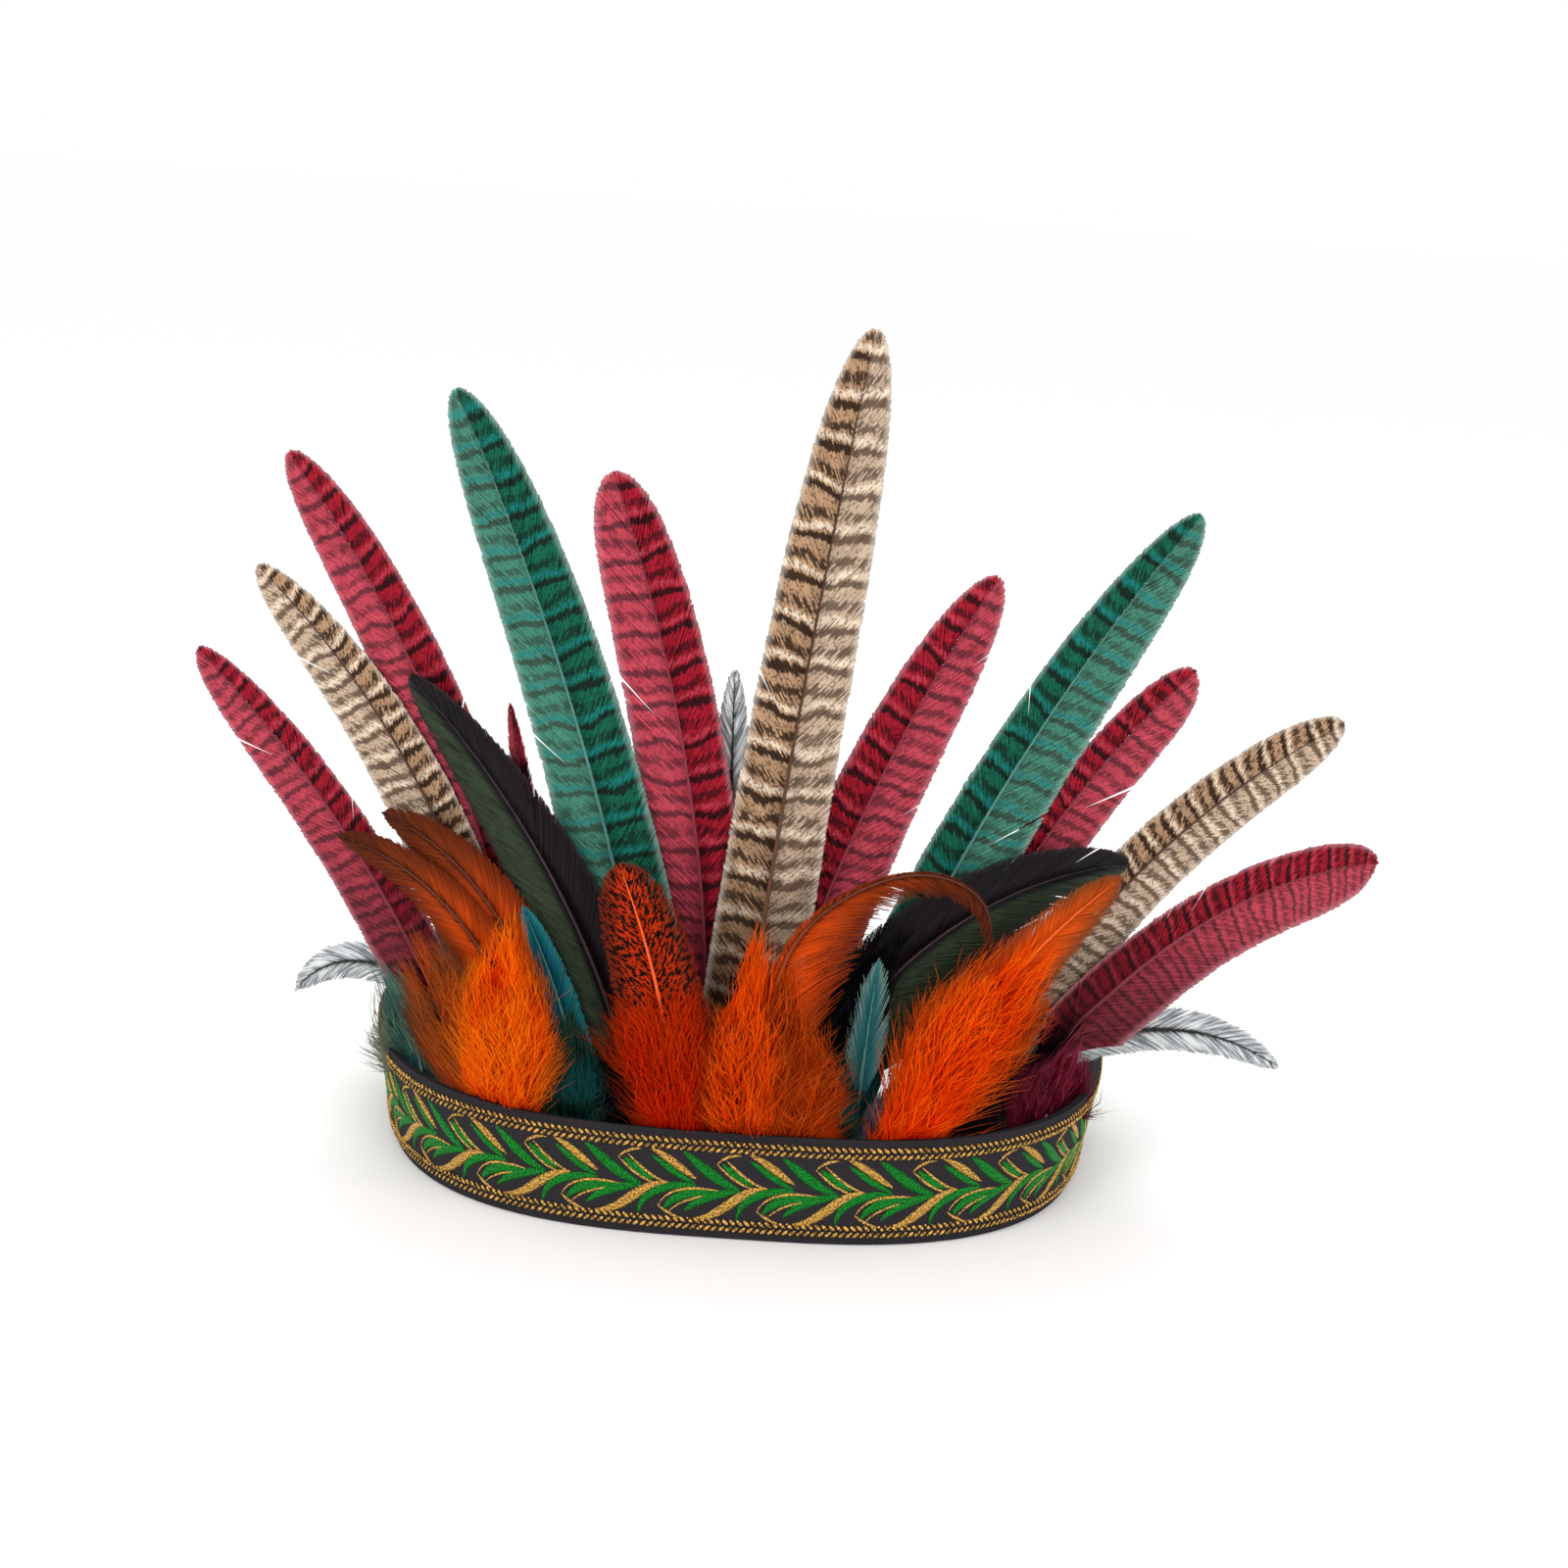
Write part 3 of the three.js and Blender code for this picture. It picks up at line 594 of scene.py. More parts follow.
# %% The flat feathers
Flat = namedtuple("Flat", "name seat length lean_foot lean_tip bend depth width left bare round kind "
                  "strong bar")
FLAT_FEATHERS = [
    Flat("tail_burgundy_far_left", -0.678, 142, -5, -54, 0.61, 10.4, 18, 0.6, 8, 5, "burgundy", 1, 7.0),
    Flat("tail_tan_left", -0.567, 160.5, -5, -55, 1.13, 12.2, 18.5, 0.6, 8, 5, "tan", 1, 7.5),
    Flat("tail_burgundy_left", -0.522, 183, -4, -42, 1, 14, 19.5, 0.55, 8, 6, "burgundy", 1, 8.0),
    Flat("tail_teal_left", -0.18, 195.5, -7, -28, 1, 12.2, 22, 0.5, 8, 5, "teal", 1, 8.2),
    Flat("tail_burgundy_centre", -0.094, 174.5, 3, -22, 1, 14, 21, 0.55, 8, 9, "burgundy", 1, 8.6),
    Flat("tail_tan_centre", -0.017, 207.5, 3, 8, 1, 12.2, 21, 0.5, 8, 5, "tan", -1, 10.2),
    Flat("tail_burgundy_right", 0.017, 161, 6, 30, 1, 15.6, 21, 0.45, 8, 5, "burgundy", -1, 8.0),
    Flat("tail_teal_right", 0.217, 186.5, 12, 39, 1, 12.2, 22, 0.4, 8, 5, "teal", -1, 8.4),
    Flat("tail_burgundy_behind", 0.411, 147.5, 6, 48, 1, 14, 18, 0.4, 8, 11, "burgundy", -1, 7.4),
    Flat("tail_tan_right", 0.556, 154.5, 12, 69, 1, 12.2, 19.5, 0.45, 8, 7, "tan", -1, 6.8),
    Flat("tail_burgundy_far_right", 0.656, 136.5, 16, 92, 1, 10.4, 22.5, 0.38, 8, 8, "burgundy", -1, 5.6),
    Flat("hackle_burgundy", -0.367, 116, -15, -11, 1, 17.4, 8, 0.5, 20, 1.6, "burgundy_hackle", 1, 30),
    Flat("hackle_tan", 0.092, 109.5, 1, 13, 1, 18.4, 9, 0.5, 20, 1.8, "tan_hackle", 1, 5.0),
    Flat("badger_centre", -0.056, 128, 0, -2, 1, 17.4, 13, 0.5, 16, 1.8, "badger", 1, 1),
    Flat("badger_left", -0.739, 78, 12, -145, 1.25, 17.4, 13, 0.5, 3, 1.8, "badger", 1, 1),
    Flat("badger_right", 0.6, 99.5, 3, 119, 0.69, 17.4, 13, 0.5, 3, 1.8, "badger", 1, 1),
    Flat("coque_left", -0.218, 136.5, -7, -50, 1, 8.8, 21, 0.55, 6, 2.2, "coque", -1, 1),
    Flat("coque_inner_left", -0.293, 102, -1, -35, 1, 10.7, 16, 0.5, 6, 2.4, "coque", -1, 1),
    Flat("coque_right", 0.178, 125, -7, 91, 1, 8.8, 24, 0.5, 6, 2, "coque", 1, 1),
    Flat("hackle_teal_left", -0.33, 71, -11, -27, 1, 6, 9.5, 0.5, 3, 2.4, "teal_hackle", 1, 40),
    Flat("hackle_teal_right", 0.294, 62, 3, 4, 1, 7, 9.5, 0.5, 3, 2.4, "teal_wisp", 1, 40),
    Flat("hackle_orange_low", -0.481, 102, -9, -88, 1.76, 5.6, 15, 0.5, 10, 2, "rust", 1, 1),
    Flat("hackle_orange_high", -0.442, 103, -7, -79, 2, 7.2, 18, 0.5, 10, 2, "rust", 1, 1),
    Flat("plume_spotted", -0.139, 86, 0, -24, 1, 0, 20, 0.5, 14, 5, "spotted", 1, 1),
    Flat("plume_right", 0.372, 99.5, 11, 55, 1, 0, 17, 0.45, 24, 2.4, "flame", 1, 1),
]
# How the barbs lie on each kind: the step between them and their width in mm, how much they narrow, their
# angle off the shaft at the root and at the tip in degrees, how ragged their ends are, how many splits
# the vane has and how far it curls back.
Kind = namedtuple("Kind", "step wide taper root_angle tip_angle ragged splits curl vane shaft slot")
KINDS = {
    "burgundy": Kind(0.6, 0.64, 0.15, 46, 17, 0.02, 1, 0.5, burgundy_vane, burgundy_shaft, "burgundy_vane"),
    "tan": Kind(0.6, 0.64, 0.15, 46, 17, 0.02, 1, 0.5, tan_vane, tan_shaft, "tan_vane"),
    "teal": Kind(0.6, 0.64, 0.15, 46, 17, 0.02, 1, 0.5, teal_vane, teal_shaft, "teal_vane"),
    "burgundy_hackle": Kind(0.5, 0.36, 0.6, 34, 14, 0.12, 1, 0.3, burgundy_vane, burgundy_shaft,
                            "burgundy_vane"),
    "tan_hackle": Kind(0.5, 0.36, 0.6, 34, 14, 0.12, 1, 0.3, tan_vane, tan_shaft, "tan_vane"),
    "teal_hackle": Kind(0.45, 0.42, 0.5, 38, 14, 0.10, 2, 0.3, plain_teal, teal_shaft, "teal_vane"),
    "teal_wisp": Kind(0.5, 0.3, 0.7, 20, 8, 0.35, 5, 0.2, pale_teal, teal_shaft, "teal_vane"),
    "badger": Kind(0.42, 0.38, 0.5, 36, 13, 0.10, 3, 0.4, badger_vane, badger_shaft, "badger_vane"),
    "coque": Kind(0.45, 0.46, 0.4, 42, 13, 0.05, 2, 0.6, dark_vane, dark_shaft, "dark_vane"),
    "rust": Kind(0.4, 0.42, 0.4, 42, 14, 0.10, 2, 0.5, rust_vane, rust_shaft, "rust_vane"),
    "spotted": Kind(0.4, 0.42, 0.5, 55, 20, 0.10, 2, 0.5, spotted_vane, orange_shaft, "orange_down"),
    "flame": Kind(0.4, 0.42, 0.5, 50, 16, 0.14, 2, 0.5, flame_vane, orange_shaft, "orange_down"),
}
print("flat feathers:", len(FLAT_FEATHERS))

# %% [markdown]
# A barb leaves the shaft at an angle, bends towards the tip as it runs out, and ends where it meets the
# outline of the vane. Near the tip the angle closes, which is what rounds the end of a feather. Barbs
# cling together in groups, so small random turns are given to whole groups and leave the fine splits
# that a handled feather has.

# %% Barbs along a shaft
BARB_STEPS = np.array([0, 0.33, 0.66, 0.96, 1.0])
RINGS = len(BARB_STEPS) - 1
FINE = 72


def vane_share(share, round_tip):
    opening = np.minimum(1, 0.35 + share / 0.16)
    return opening * (1 - np.clip(share, 0, 1) ** (1.3 * round_tip)) ** 0.5 * (1.10 - 0.18 * share)


def barb_paths(rng, row, kind, start, half_width, side):
    """Each barb as distances across and shares along the shaft, with its root in mm."""
    vane_length = row.length * (1 - start)
    roots = np.arange(0, vane_length * 0.992, kind.step)
    share = roots / vane_length
    closing = (kind.tip_angle - 4) * smooth_step((share - 0.88) / 0.11)
    angle = np.radians(kind.root_angle + (1.3 * kind.tip_angle - kind.root_angle) * share ** 1.6 - closing)
    group_of = np.cumsum(rng.random(len(roots)) < 0.05)
    angle = angle * (1 + 0.008 * rng.standard_normal(group_of[-1] + 1)[group_of])
    angle = angle * (1 + 0.004 * rng.standard_normal(len(roots)))
    for split_at in rng.uniform(0.35, 0.9, kind.splits) * vane_length:
        away = roots - split_at
        angle = angle - rng.uniform(0.008, 0.022) * np.sign(away) * np.exp(-np.abs(away) / 3)
    step = 36 / FINE
    run = np.arange(FINE) * step
    turn = angle[:, None] * (1 - 0.3 * run[None] / 36)
    across = np.cumsum(np.sin(turn), 1) * step
    along = roots[:, None] + np.cumsum(np.cos(turn), 1) * step
    inside = (across < half_width(along / vane_length)) & (along < vane_length * 0.999)
    ends = np.maximum(np.argmin(inside, 1), 2).astype(float)
    ends *= 1 + kind.ragged * (rng.random(len(roots)) - 0.6)
    places = BARB_STEPS[None] * ends[:, None]
    low = np.clip(places.astype(int), 0, FINE - 2)
    part = places - low
    pick = np.arange(len(roots))[:, None]
    across = across[pick, low] * (1 - part) + across[pick, low + 1] * part
    along = along[pick, low] * (1 - part) + along[pick, low + 1] * part
    return roots, across * side, along / vane_length


def facing(centres):
    """Which way the vane faces at every point, from the barbs on both sides of it."""
    normal = np.cross(np.gradient(centres, axis=1), np.gradient(centres, axis=0))
    normal /= np.linalg.norm(normal, axis=2, keepdims=True) + 1e-9
    return normal * -np.sign(normal[..., 1].mean())


def vane_of(parts, rng, row, kind, start, half_widths, lift=None, droop=0.0):
    shaft = Shaft(row)
    for side, half_width in ((-1, half_widths[0]), (1, half_widths[1])):
        roots, across, share = barb_paths(rng, row, kind, start, half_width, side)
        half = np.maximum(half_width(np.clip(share, 0, 1)), 0.5)
        bent = kind.curl * np.minimum(np.abs(across) / half, 1.1) ** 2
        forward = 0.15 - bent + 0.1 * rng.standard_normal((len(roots), 1))
        if lift is not None:
            forward = forward + lift(share) - droop * np.abs(across)
        centres = shaft.place(start + share * (1 - start), across, forward, 3.0)
        steps = BARB_STEPS
        widths = kind.wide * (1 - kind.taper * steps[None, :-1] ** 2) * np.ones((len(roots), 1))
        heights = 0.26 * (1 - 0.5 * steps[None, :-1]) * np.ones((len(roots), 1))
        bars = (share * row.length * (1 - start)) / row.bar + row.seat * 9
        if row.bar == 1:
            bars = share
        vane = np.stack([across * row.strong, bars], -1)
        barb = np.stack([np.broadcast_to(roots[:, None] + 300 * (side > 0), share.shape),
                         np.broadcast_to(steps[None], share.shape)], -1)
        slivers(parts, centres, widths, heights, 0, facing(centres), vane=vane, barb=barb)
    shares = np.linspace(0, start + 0.975 * (1 - start), 60)
    in_vane = np.clip((shares - start) / (1 - start), 0, 1)
    radii = 0.8 * (1 - 0.84 * in_vane ** 0.7)
    raise_by = 0.1 if lift is None else 0.1 + lift(in_vane)
    tube(parts, shaft.place(shares, 0 * shares, raise_by + 0 * shares), radii, 1)


# %% [markdown]
# Down is loose: each barb is a soft thread that wanders, and threads cling together into pointed locks.
# A plume is built as a soft inner body with a few thousand threads over it. Their colour goes from painted
# shade at the root, inside the plume, to bright in the middle and thin and pale, or brown, at the tip.

# %% Colours of down
def down_material(name, depth_shade, root, middle, tip, edge, foot):
    made, tree, shader = material(name, 0.9, 0.03)
    thread, reach = split(tree, map_of(tree, "barb"))
    side, height = split(tree, map_of(tree, "vane"))
    place = tree.nodes.new("ShaderNodeTexCoord").outputs["Object"]
    patches = ease(tree, noise(tree, place, 90, 2), 0.42, 0.66)
    # The first stop, at the thread roots inside the plume, is painted shade.
    colour = ramp(tree, reach, (0.0, depth_shade), (0.35, root), (0.75, middle), (1.0, tip))
    colour = blend(tree, times(tree, patches, 0.45), colour, foot)
    colour = blend(tree, times(tree, ease(tree, height, 0.22, 0.0), 0.7), colour, foot)
    outer = ease(tree, sums(tree, "MULTIPLY_ADD", reach, 0.35, sums(tree, "ABSOLUTE", side)), 0.95, 1.5)
    colour = blend(tree, times(tree, outer, 0.8), colour, edge)
    shaded(tree, shader, colour, noise(tree, join(tree, times(tree, thread, 3.7)), 1, 0), 0.78, 0.55)
    return made


# The first colour of each down is painted shade for the thread roots inside the plume.
DOWN_MATERIALS = {
    "fire": down_material("fire_down", paint(224, 58, 0), paint(255, 88, 0), paint(255, 128, 6),
                          paint(244, 128, 28), paint(158, 74, 26), paint(240, 52, 0)),
    "flame": down_material("flame_down", paint(206, 38, 0), paint(248, 62, 0), paint(255, 104, 4),
                           paint(246, 112, 24), paint(170, 68, 18), paint(238, 40, 0)),
    "ember": down_material("ember_down", paint(116, 10, 0), paint(184, 30, 0), paint(212, 50, 2),
                           paint(196, 70, 18), paint(96, 30, 8), paint(222, 34, 0)),
    "amber": down_material("amber_down", paint(140, 26, 0), paint(222, 58, 0), paint(250, 92, 4),
                           paint(226, 104, 30), paint(140, 58, 18), paint(206, 56, 2)),
    "brown": down_material("brown_down", paint(104, 28, 2), paint(172, 54, 4), paint(210, 82, 14),
                           paint(186, 92, 36), paint(92, 42, 18), paint(206, 66, 4)),
    "umber": down_material("umber_down", paint(70, 26, 8), paint(136, 56, 18), paint(176, 84, 34),
                           paint(150, 96, 58), paint(96, 60, 38), paint(206, 72, 10)),
    "teal": down_material("teal_down", paint(4, 30, 30), paint(40, 92, 84), paint(98, 142, 126),
                          paint(146, 158, 136), paint(128, 122, 98), paint(10, 88, 92)),
    "dark_teal": down_material("dark_teal_down", paint(3, 10, 10), paint(10, 38, 32), paint(30, 72, 60),
                               paint(78, 92, 62), paint(30, 42, 28), paint(2, 96, 104)),
    "black": down_material("black_down", paint(2, 2, 3), paint(6, 5, 7), paint(14, 13, 16),
                           paint(50, 48, 52), paint(20, 20, 23), paint(3, 3, 5)),
    "purple": down_material("purple_down", paint(14, 8, 15), paint(50, 38, 50), paint(110, 96, 112),
                            paint(168, 156, 170), paint(96, 82, 98), paint(30, 20, 30)),
    # Near-black dark burgundy down for the feet of burgundy feathers: real fluff, coloured as painted shadow
    # for the gaps over the rim.
    "burgundy_shadow": down_material("burgundy_shadow_down", paint(3, 1, 2), paint(14, 4, 8), paint(34, 8, 16),
                          paint(76, 22, 38), paint(24, 8, 13), paint(6, 4, 5)),
    "burgundy": down_material("burgundy_down", paint(12, 2, 6), paint(60, 6, 20), paint(126, 16, 42),
                              paint(204, 92, 122), paint(90, 20, 40), paint(10, 6, 9)),
}
print("down colours:", len(DOWN_MATERIALS))

# %% [markdown]
# The plumes and tufts are given by their width at the rim, in the middle and under the tip, and by the
# shares of their height where the middle and the top width are reached. cover is the share of the height
# that the down reaches, thread is a thread's length in mm, and wisps is the share of locks that stray.

# %% The plumes and tufts
Down = namedtuple("Down", "name seat length lean_foot lean_tip bend depth rim middle top full slim left "
                  "round front cover thread wisps locks threads colour slot")
DOWN_FEATHERS = [
    Down("plume_left", -0.622, 78, 10, -16, 1, 0, 20, 34, 15, 0.4, 0.8, 0.6, 2.2, 9, 0.78, 15, 0.4,
         140, 20, "fire", "orange_down"),
    Down("plume_left", -0.66, 66, -4, -44, 1, 1.6, 12, 28, 26, 0.5, 0.9, 0.5, 2.0, 4, 0.85, 22, 0.8,
         90, 14, "umber", "rust_vane"),
    Down("plume_spotted", -0.139, 86, 0, -24, 1, 0, 17, 27, 18, 0.4, 0.7, 0.54, 5, 7, 0.54, 16, 0.25,
         120, 20, "ember", "orange_down"),
    Down("plume_centre", 0.056, 75, -9, 8, 1, 0, 20, 24, 18, 0.4, 0.8, 0.56, 2.6, 9, 0.95, 15, 0.3,
         110, 20, "amber", "orange_down"),
    Down("hackle_arching", 0.128, 72, -10, 26, 2.73, 0, 22, 27, 14, 0.35, 0.85, 0.2, 2.4, 6, 0.95, 16, 0.25,
         108, 20, "brown", "rust_vane"),
    Down("plume_right", 0.372, 99.5, 11, 55, 1, 0, 18, 32, 16, 0.4, 0.8, 0.46, 3, 8, 0.7, 16, 0.35,
         140, 20, "flame", "orange_down"),
    Down("tuft_teal_left", -0.8, 46, -6, -34, 1, 3.4, 21, 28, 22, 0.4, 0.8, 0.46, 2.4, 2.4, 1, 16, 0.6,
         110, 18, "teal", "teal_down"),
    Down("coque_right", 0.2, 78, -4, 34, 1, 8.2, 14, 24, 20, 0.5, 0.9, 0.5, 2.2, 1.2, 0.95, 20, 0.3,
         50, 14, "black", "dark_vane"),
    Down("tuft_teal_middle", -0.403, 44, -4, -6, 1, 3.4, 17, 20, 14, 0.4, 0.8, 0.5, 2.4, 2.2, 1, 12, 0.2,
         80, 18, "dark_teal", "teal_down"),
    Down("tuft_teal_right", 0.25, 38, 0, 4, 1, 3.4, 12, 14, 9, 0.4, 0.8, 0.5, 2.4, 2.2, 1, 11, 0.2,
         60, 18, "dark_teal", "teal_down"),
    Down("tuft_black_middle", -0.256, 44, -6, -4, 1, 3.4, 17, 20, 14, 0.4, 0.8, 0.5, 2.2, 1.8, 1, 12, 0.2,
         70, 18, "black", "black_down"),
    Down("tuft_purple", 0.339, 36, 6, 12, 1, 3.4, 10, 12, 9, 0.4, 0.8, 0.4, 2.2, 2.0, 1, 10, 0.2,
         36, 20, "purple", "purple_down"),
    Down("tuft_black_right", 0.511, 34, 24, 30, 1, 3.4, 18, 22, 15, 0.4, 0.8, 0.5, 2.4, 2.0, 1, 12, 0.25,
         70, 18, "black", "black_down"),
    Down("tuft_burgundy", 0.778, 42, 8, 26, 1, 3.4, 22, 26, 16, 0.4, 0.8, 0.45, 2.4, 2.0, 1, 17, 0.5,
         70, 18, "burgundy", "burgundy_down"),
]
DOWN_FLOOR = 19


def down_width(row, share):
    share = np.clip(share, 0, 1)
    low = row.rim + (row.middle - row.rim) * smooth_step(share / row.full)
    width = low + (row.top - low) * smooth_step((share - row.full) / (row.slim - row.full))
    return width * (1 - share ** row.round) ** 0.55


def down_bulge(row, share):
    share = np.clip(share, 0, 1)
    return np.minimum(row.front, down_width(row, share) / 2) * np.sin(math.pi * (0.25 + 0.72 * share)) ** 0.8


# %% [markdown]
# The plume is covered like fur. Lock ends are spread evenly over the body, and the threads of a lock start
# apart, deeper in and lower down, and close in on its end. The inner body is lofted from rings well inside
# the same outline, so that no light shows through.

# %% Threads of down
THREAD_STEPS = np.array([0, 0.28, 0.54, 0.78, 1.0])


def lock_ends(rng, row):
    """Evenly spread ends as shares of the height and of the half width."""
    shares = rng.random(row.locks * 8) * row.cover
    keep = rng.random(len(shares)) * row.middle < down_width(row, shares)
    shares = shares[keep][:row.locks] + 0.03
    return shares, rng.uniform(-1, 1, len(shares))


def add_down(parts, rng, row, finish):
    shaft = Shaft(row)
    start = shaft.start(DOWN_FLOOR + 0.4)
    height = row.length * (1 - start)
    end_of, side_of = lock_ends(rng, row)
    stray = rng.random(len(end_of)) < row.wisps
    out_of = rng.uniform(0.92, 1.08, len(end_of)) + stray * rng.uniform(0.1, 0.45, len(end_of))
    front_of = np.sqrt(1 - side_of ** 2) * rng.uniform(0.6, 1.12, len(end_of))
    of = np.repeat(np.arange(len(end_of)), row.threads)
    total = len(of)

    def spread(size):
        return size * rng.standard_normal(total)[:, None]

    end = end_of[of][:, None] + spread(2.2 / height)
    side_end = (side_of * out_of)[of][:, None] + spread(0.15)
    front_end = front_of[of][:, None] + spread(0.13)
    length = row.thread / height * rng.uniform(0.6, 1.15, total)[:, None] * (1 + 0.4 * stray[of][:, None])
    base = end - length + spread(1.5 / height)
    steps = THREAD_STEPS[None]
    share = np.maximum(base + (end - base) * steps ** 0.92, -0.01)
    side = side_end * (0.42 + 0.58 * steps ** 1.4) + spread(0.16) * (1 - steps)
    side = side + spread(0.08) * np.sin(2.6 * math.pi * steps)
    front = front_end * (0.5 + 0.5 * steps) + np.abs(spread(0.12)) * np.sin(math.pi * steps)
    half = np.where(side < 0, row.left, 1 - row.left)
    across = side * half * np.maximum(down_width(row, np.minimum(share, row.cover * 0.96)), 3.0)
    forward = front * np.maximum(down_bulge(row, share), 0.8) + 0.2
    behind = rng.random(total)[:, None] < 0.28
    forward = np.where(behind, -0.9 - 0.4 * np.abs(front), forward)
    centres = shaft.place(start + share * (1 - start), across, forward, DOWN_FLOOR)
    widths = 0.25 * (1 - 0.55 * steps[:, :-1]) * rng.uniform(0.7, 1.3, total)[:, None]
    thread_map = np.stack([np.broadcast_to(np.arange(total)[:, None] * 1.0, share.shape),
                           np.broadcast_to(steps, share.shape)], -1)
    place_map = np.stack([np.broadcast_to(side_end, share.shape), share], -1)
    slivers(parts, centres, widths, widths * 0.8, finish, vane=place_map, barb=thread_map)
    inner_core(parts, shaft, row, start, finish)


def inner_core(parts, shaft, row, start, finish, sides=16, rings=22):
    top = row.cover * (1 - 0.5 * row.wisps)
    shares = np.linspace(0.0, 0.97 * top, rings)
    turn = np.arange(sides) * 2 * math.pi / sides
    share, angle = np.meshgrid(shares, turn, indexing="ij")
    closing = np.sqrt(1 - (share / top) ** 3)
    half = np.where(np.cos(angle) < 0, row.left, 1 - row.left) * down_width(row, share) * 0.8 * closing
    depth = np.where(np.sin(angle) > 0, down_bulge(row, share) * 0.62 * closing, 0.7)
    lumps = 1 + 0.1 * np.sin(5 * angle + 9 * share) + 0.08 * np.sin(31 * share + 3 * angle)
    across = np.cos(angle) * half * lumps
    forward = np.sin(angle) * depth * lumps
    body = shaft.place(start + share * (1 - start), across, forward, DOWN_FLOOR)
    ends = shaft.place(start + np.array([0, 0.98 * top]) * (1 - start), np.zeros(2), np.zeros(2), DOWN_FLOOR)
    points = np.concatenate([body.reshape(-1, 3), ends])
    faces = []
    for i in range(sides):
        j = (i + 1) % sides
        for ring in range(rings - 1):
            a, b = ring * sides + i, ring * sides + j
            faces += [[a, b + sides, a + sides], [a, b, b + sides]]
        last = (rings - 1) * sides
        faces += [[j, i, rings * sides], [last + i, last + j, rings * sides + 1]]
    here = np.concatenate([np.stack([np.cos(angle), share], -1).reshape(-1, 2), [[0, 0], [0, 1]]])
    # The core reads its colour from just above the thread roots, so it is painted shade as well.
    depth_shade = np.concatenate([np.stack([share, 0.16 + 0 * share], -1).reshape(-1, 2), [[0, 0.16], [0, 0.16]]])
    parts.add(points, np.array(faces), finish, vane=here, barb=depth_shade)


for number, row in enumerate(DOWN_FEATHERS):
    parts = Parts()
    add_down(parts, np.random.default_rng(300 + number), row, 0)
    shares = np.linspace(0, 0.5 * row.cover, 30)
    tube(parts, Shaft(row).place(shares, 0 * shares, 0.1 + 0 * shares), 0.9 * (1 - 0.6 * shares), 0)
    build(f"{row.name}_down_{row.colour}", parts, [DOWN_MATERIALS[row.colour]], row.name)

# %% [markdown]
# Every feather that grew on a bird has fluff at its foot, below the closed part of the vane. That fluff
# is what fills the dark gaps over the rim of the headband, so each flat feather gets some. Where it is
# black or near-black it is partly painted shadow: its colour stands for the shade in those gaps.

# %% Flat feathers with their downy feet
# The black and near-black dark burgundy feet are partly painted shadow for the shade between the feathers
# over the rim.
FOOT_COLOURS = {"burgundy": "burgundy_shadow", "tan": "black", "teal": "dark_teal", "badger": "black", "coque": "black",
                "rust": "brown", "spotted": "ember", "flame": "flame", "burgundy_hackle": "black",
                "tan_hackle": "black", "teal_hackle": "dark_teal", "teal_wisp": "dark_teal"}


def downy_foot(row):
    """Fluff on the lowest quarter or so of a flat feather, up to the foot of its closed vane."""
    top = min(0.45, (16 + row.bare) / row.length + 0.08)
    return Down(row.name, row.seat, row.length, row.lean_foot, row.lean_tip, row.bend, row.depth, 12, 15, 12,
                0.6 * top, top, 0.5, 40, 1.6, top, 13, 0.25, 20, 11, FOOT_COLOURS[row.kind], "")


for number, row in enumerate(FLAT_FEATHERS):
    kind = KINDS[row.kind]
    start = Shaft(row).start(RIBBON_HEIGHT + 0.8 + row.bare)
    parts = Parts()
    sides = [lambda s, w=row.width * share, r=row.round: w * vane_share(s, r)
             for share in (row.left, 1 - row.left)]
    raised = (lambda share: 2.5 * smooth_step(share / 0.15)) if row.name.startswith("plume") else None
    rng = np.random.default_rng(100 + number)
    vane_of(parts, rng, row, kind, start, sides, raised)
    if not row.name.startswith("plume"):
        add_down(parts, rng, downy_foot(row), 2)
    build(row.name + "_feather", parts, [kind.vane, kind.shaft, DOWN_MATERIALS[FOOT_COLOURS[row.kind]]],
          row.name)

# %% [markdown]
# One rust hackle leaves the centre plume, arches forward over it and hangs with its barbs down. It is laid
# like a flat vane with nearly all its barbs on the inner side, and lifted forward off the fan.

# %% The arching hackle
Arch = namedtuple("Arch", "name seat length lean_foot lean_tip bend depth strong bar")
arching = Arch("hackle_arching", 0.128, 135, -10, 192, 2.73, 0, 1, 1)


def arch_lift(share):
    return 14 * smooth_step((share - 0.25) / 0.35) * (1 - 0.3 * smooth_step((share - 0.75) / 0.25)) + 1.5


def arch_width(share):
    width = 14 + 3 * smooth_step(share / 0.12) - 9 * smooth_step((share - 0.3) / 0.42)
    return width * (1 - np.clip(share, 0, 1) ** 2.4) ** 0.55


arching_kind = Kind(0.45, 0.32, 0.6, 40, 12, 0.3, 3, 0.0, rust_vane, rust_shaft, "rust_vane")
parts = Parts()
start = Shaft(arching).start(RIBBON_HEIGHT + 12)
vane_of(parts, np.random.default_rng(77), arching, arching_kind, start,
        [lambda s: 0.12 * arch_width(s), lambda s: 0.88 * arch_width(s)], arch_lift, 0.15)
build("hackle_arching_feather", parts, [rust_vane, rust_shaft], "hackle_arching")

# %% [markdown]
# The ribbon is a black woven tape. It starts as a flat grid as long and as high as the tape, is wrapped
# round the loop, joined at the back and given its thickness with Solidify. The weave is in the material.

# %% The woven ground of the ribbon
ribbon_ground, tree, shader = material("ribbon_ground", 0.85, 0.1)
along, up = split(tree, map_of(tree, "tape"))


def threads_of(tree, value, pitch, offset=0.0):
    turn = sums(tree, "MULTIPLY_ADD", value, 2 * math.pi / pitch, offset)
    return sums(tree, "MULTIPLY_ADD", sums(tree, "SINE", turn), 0.5, 0.5)


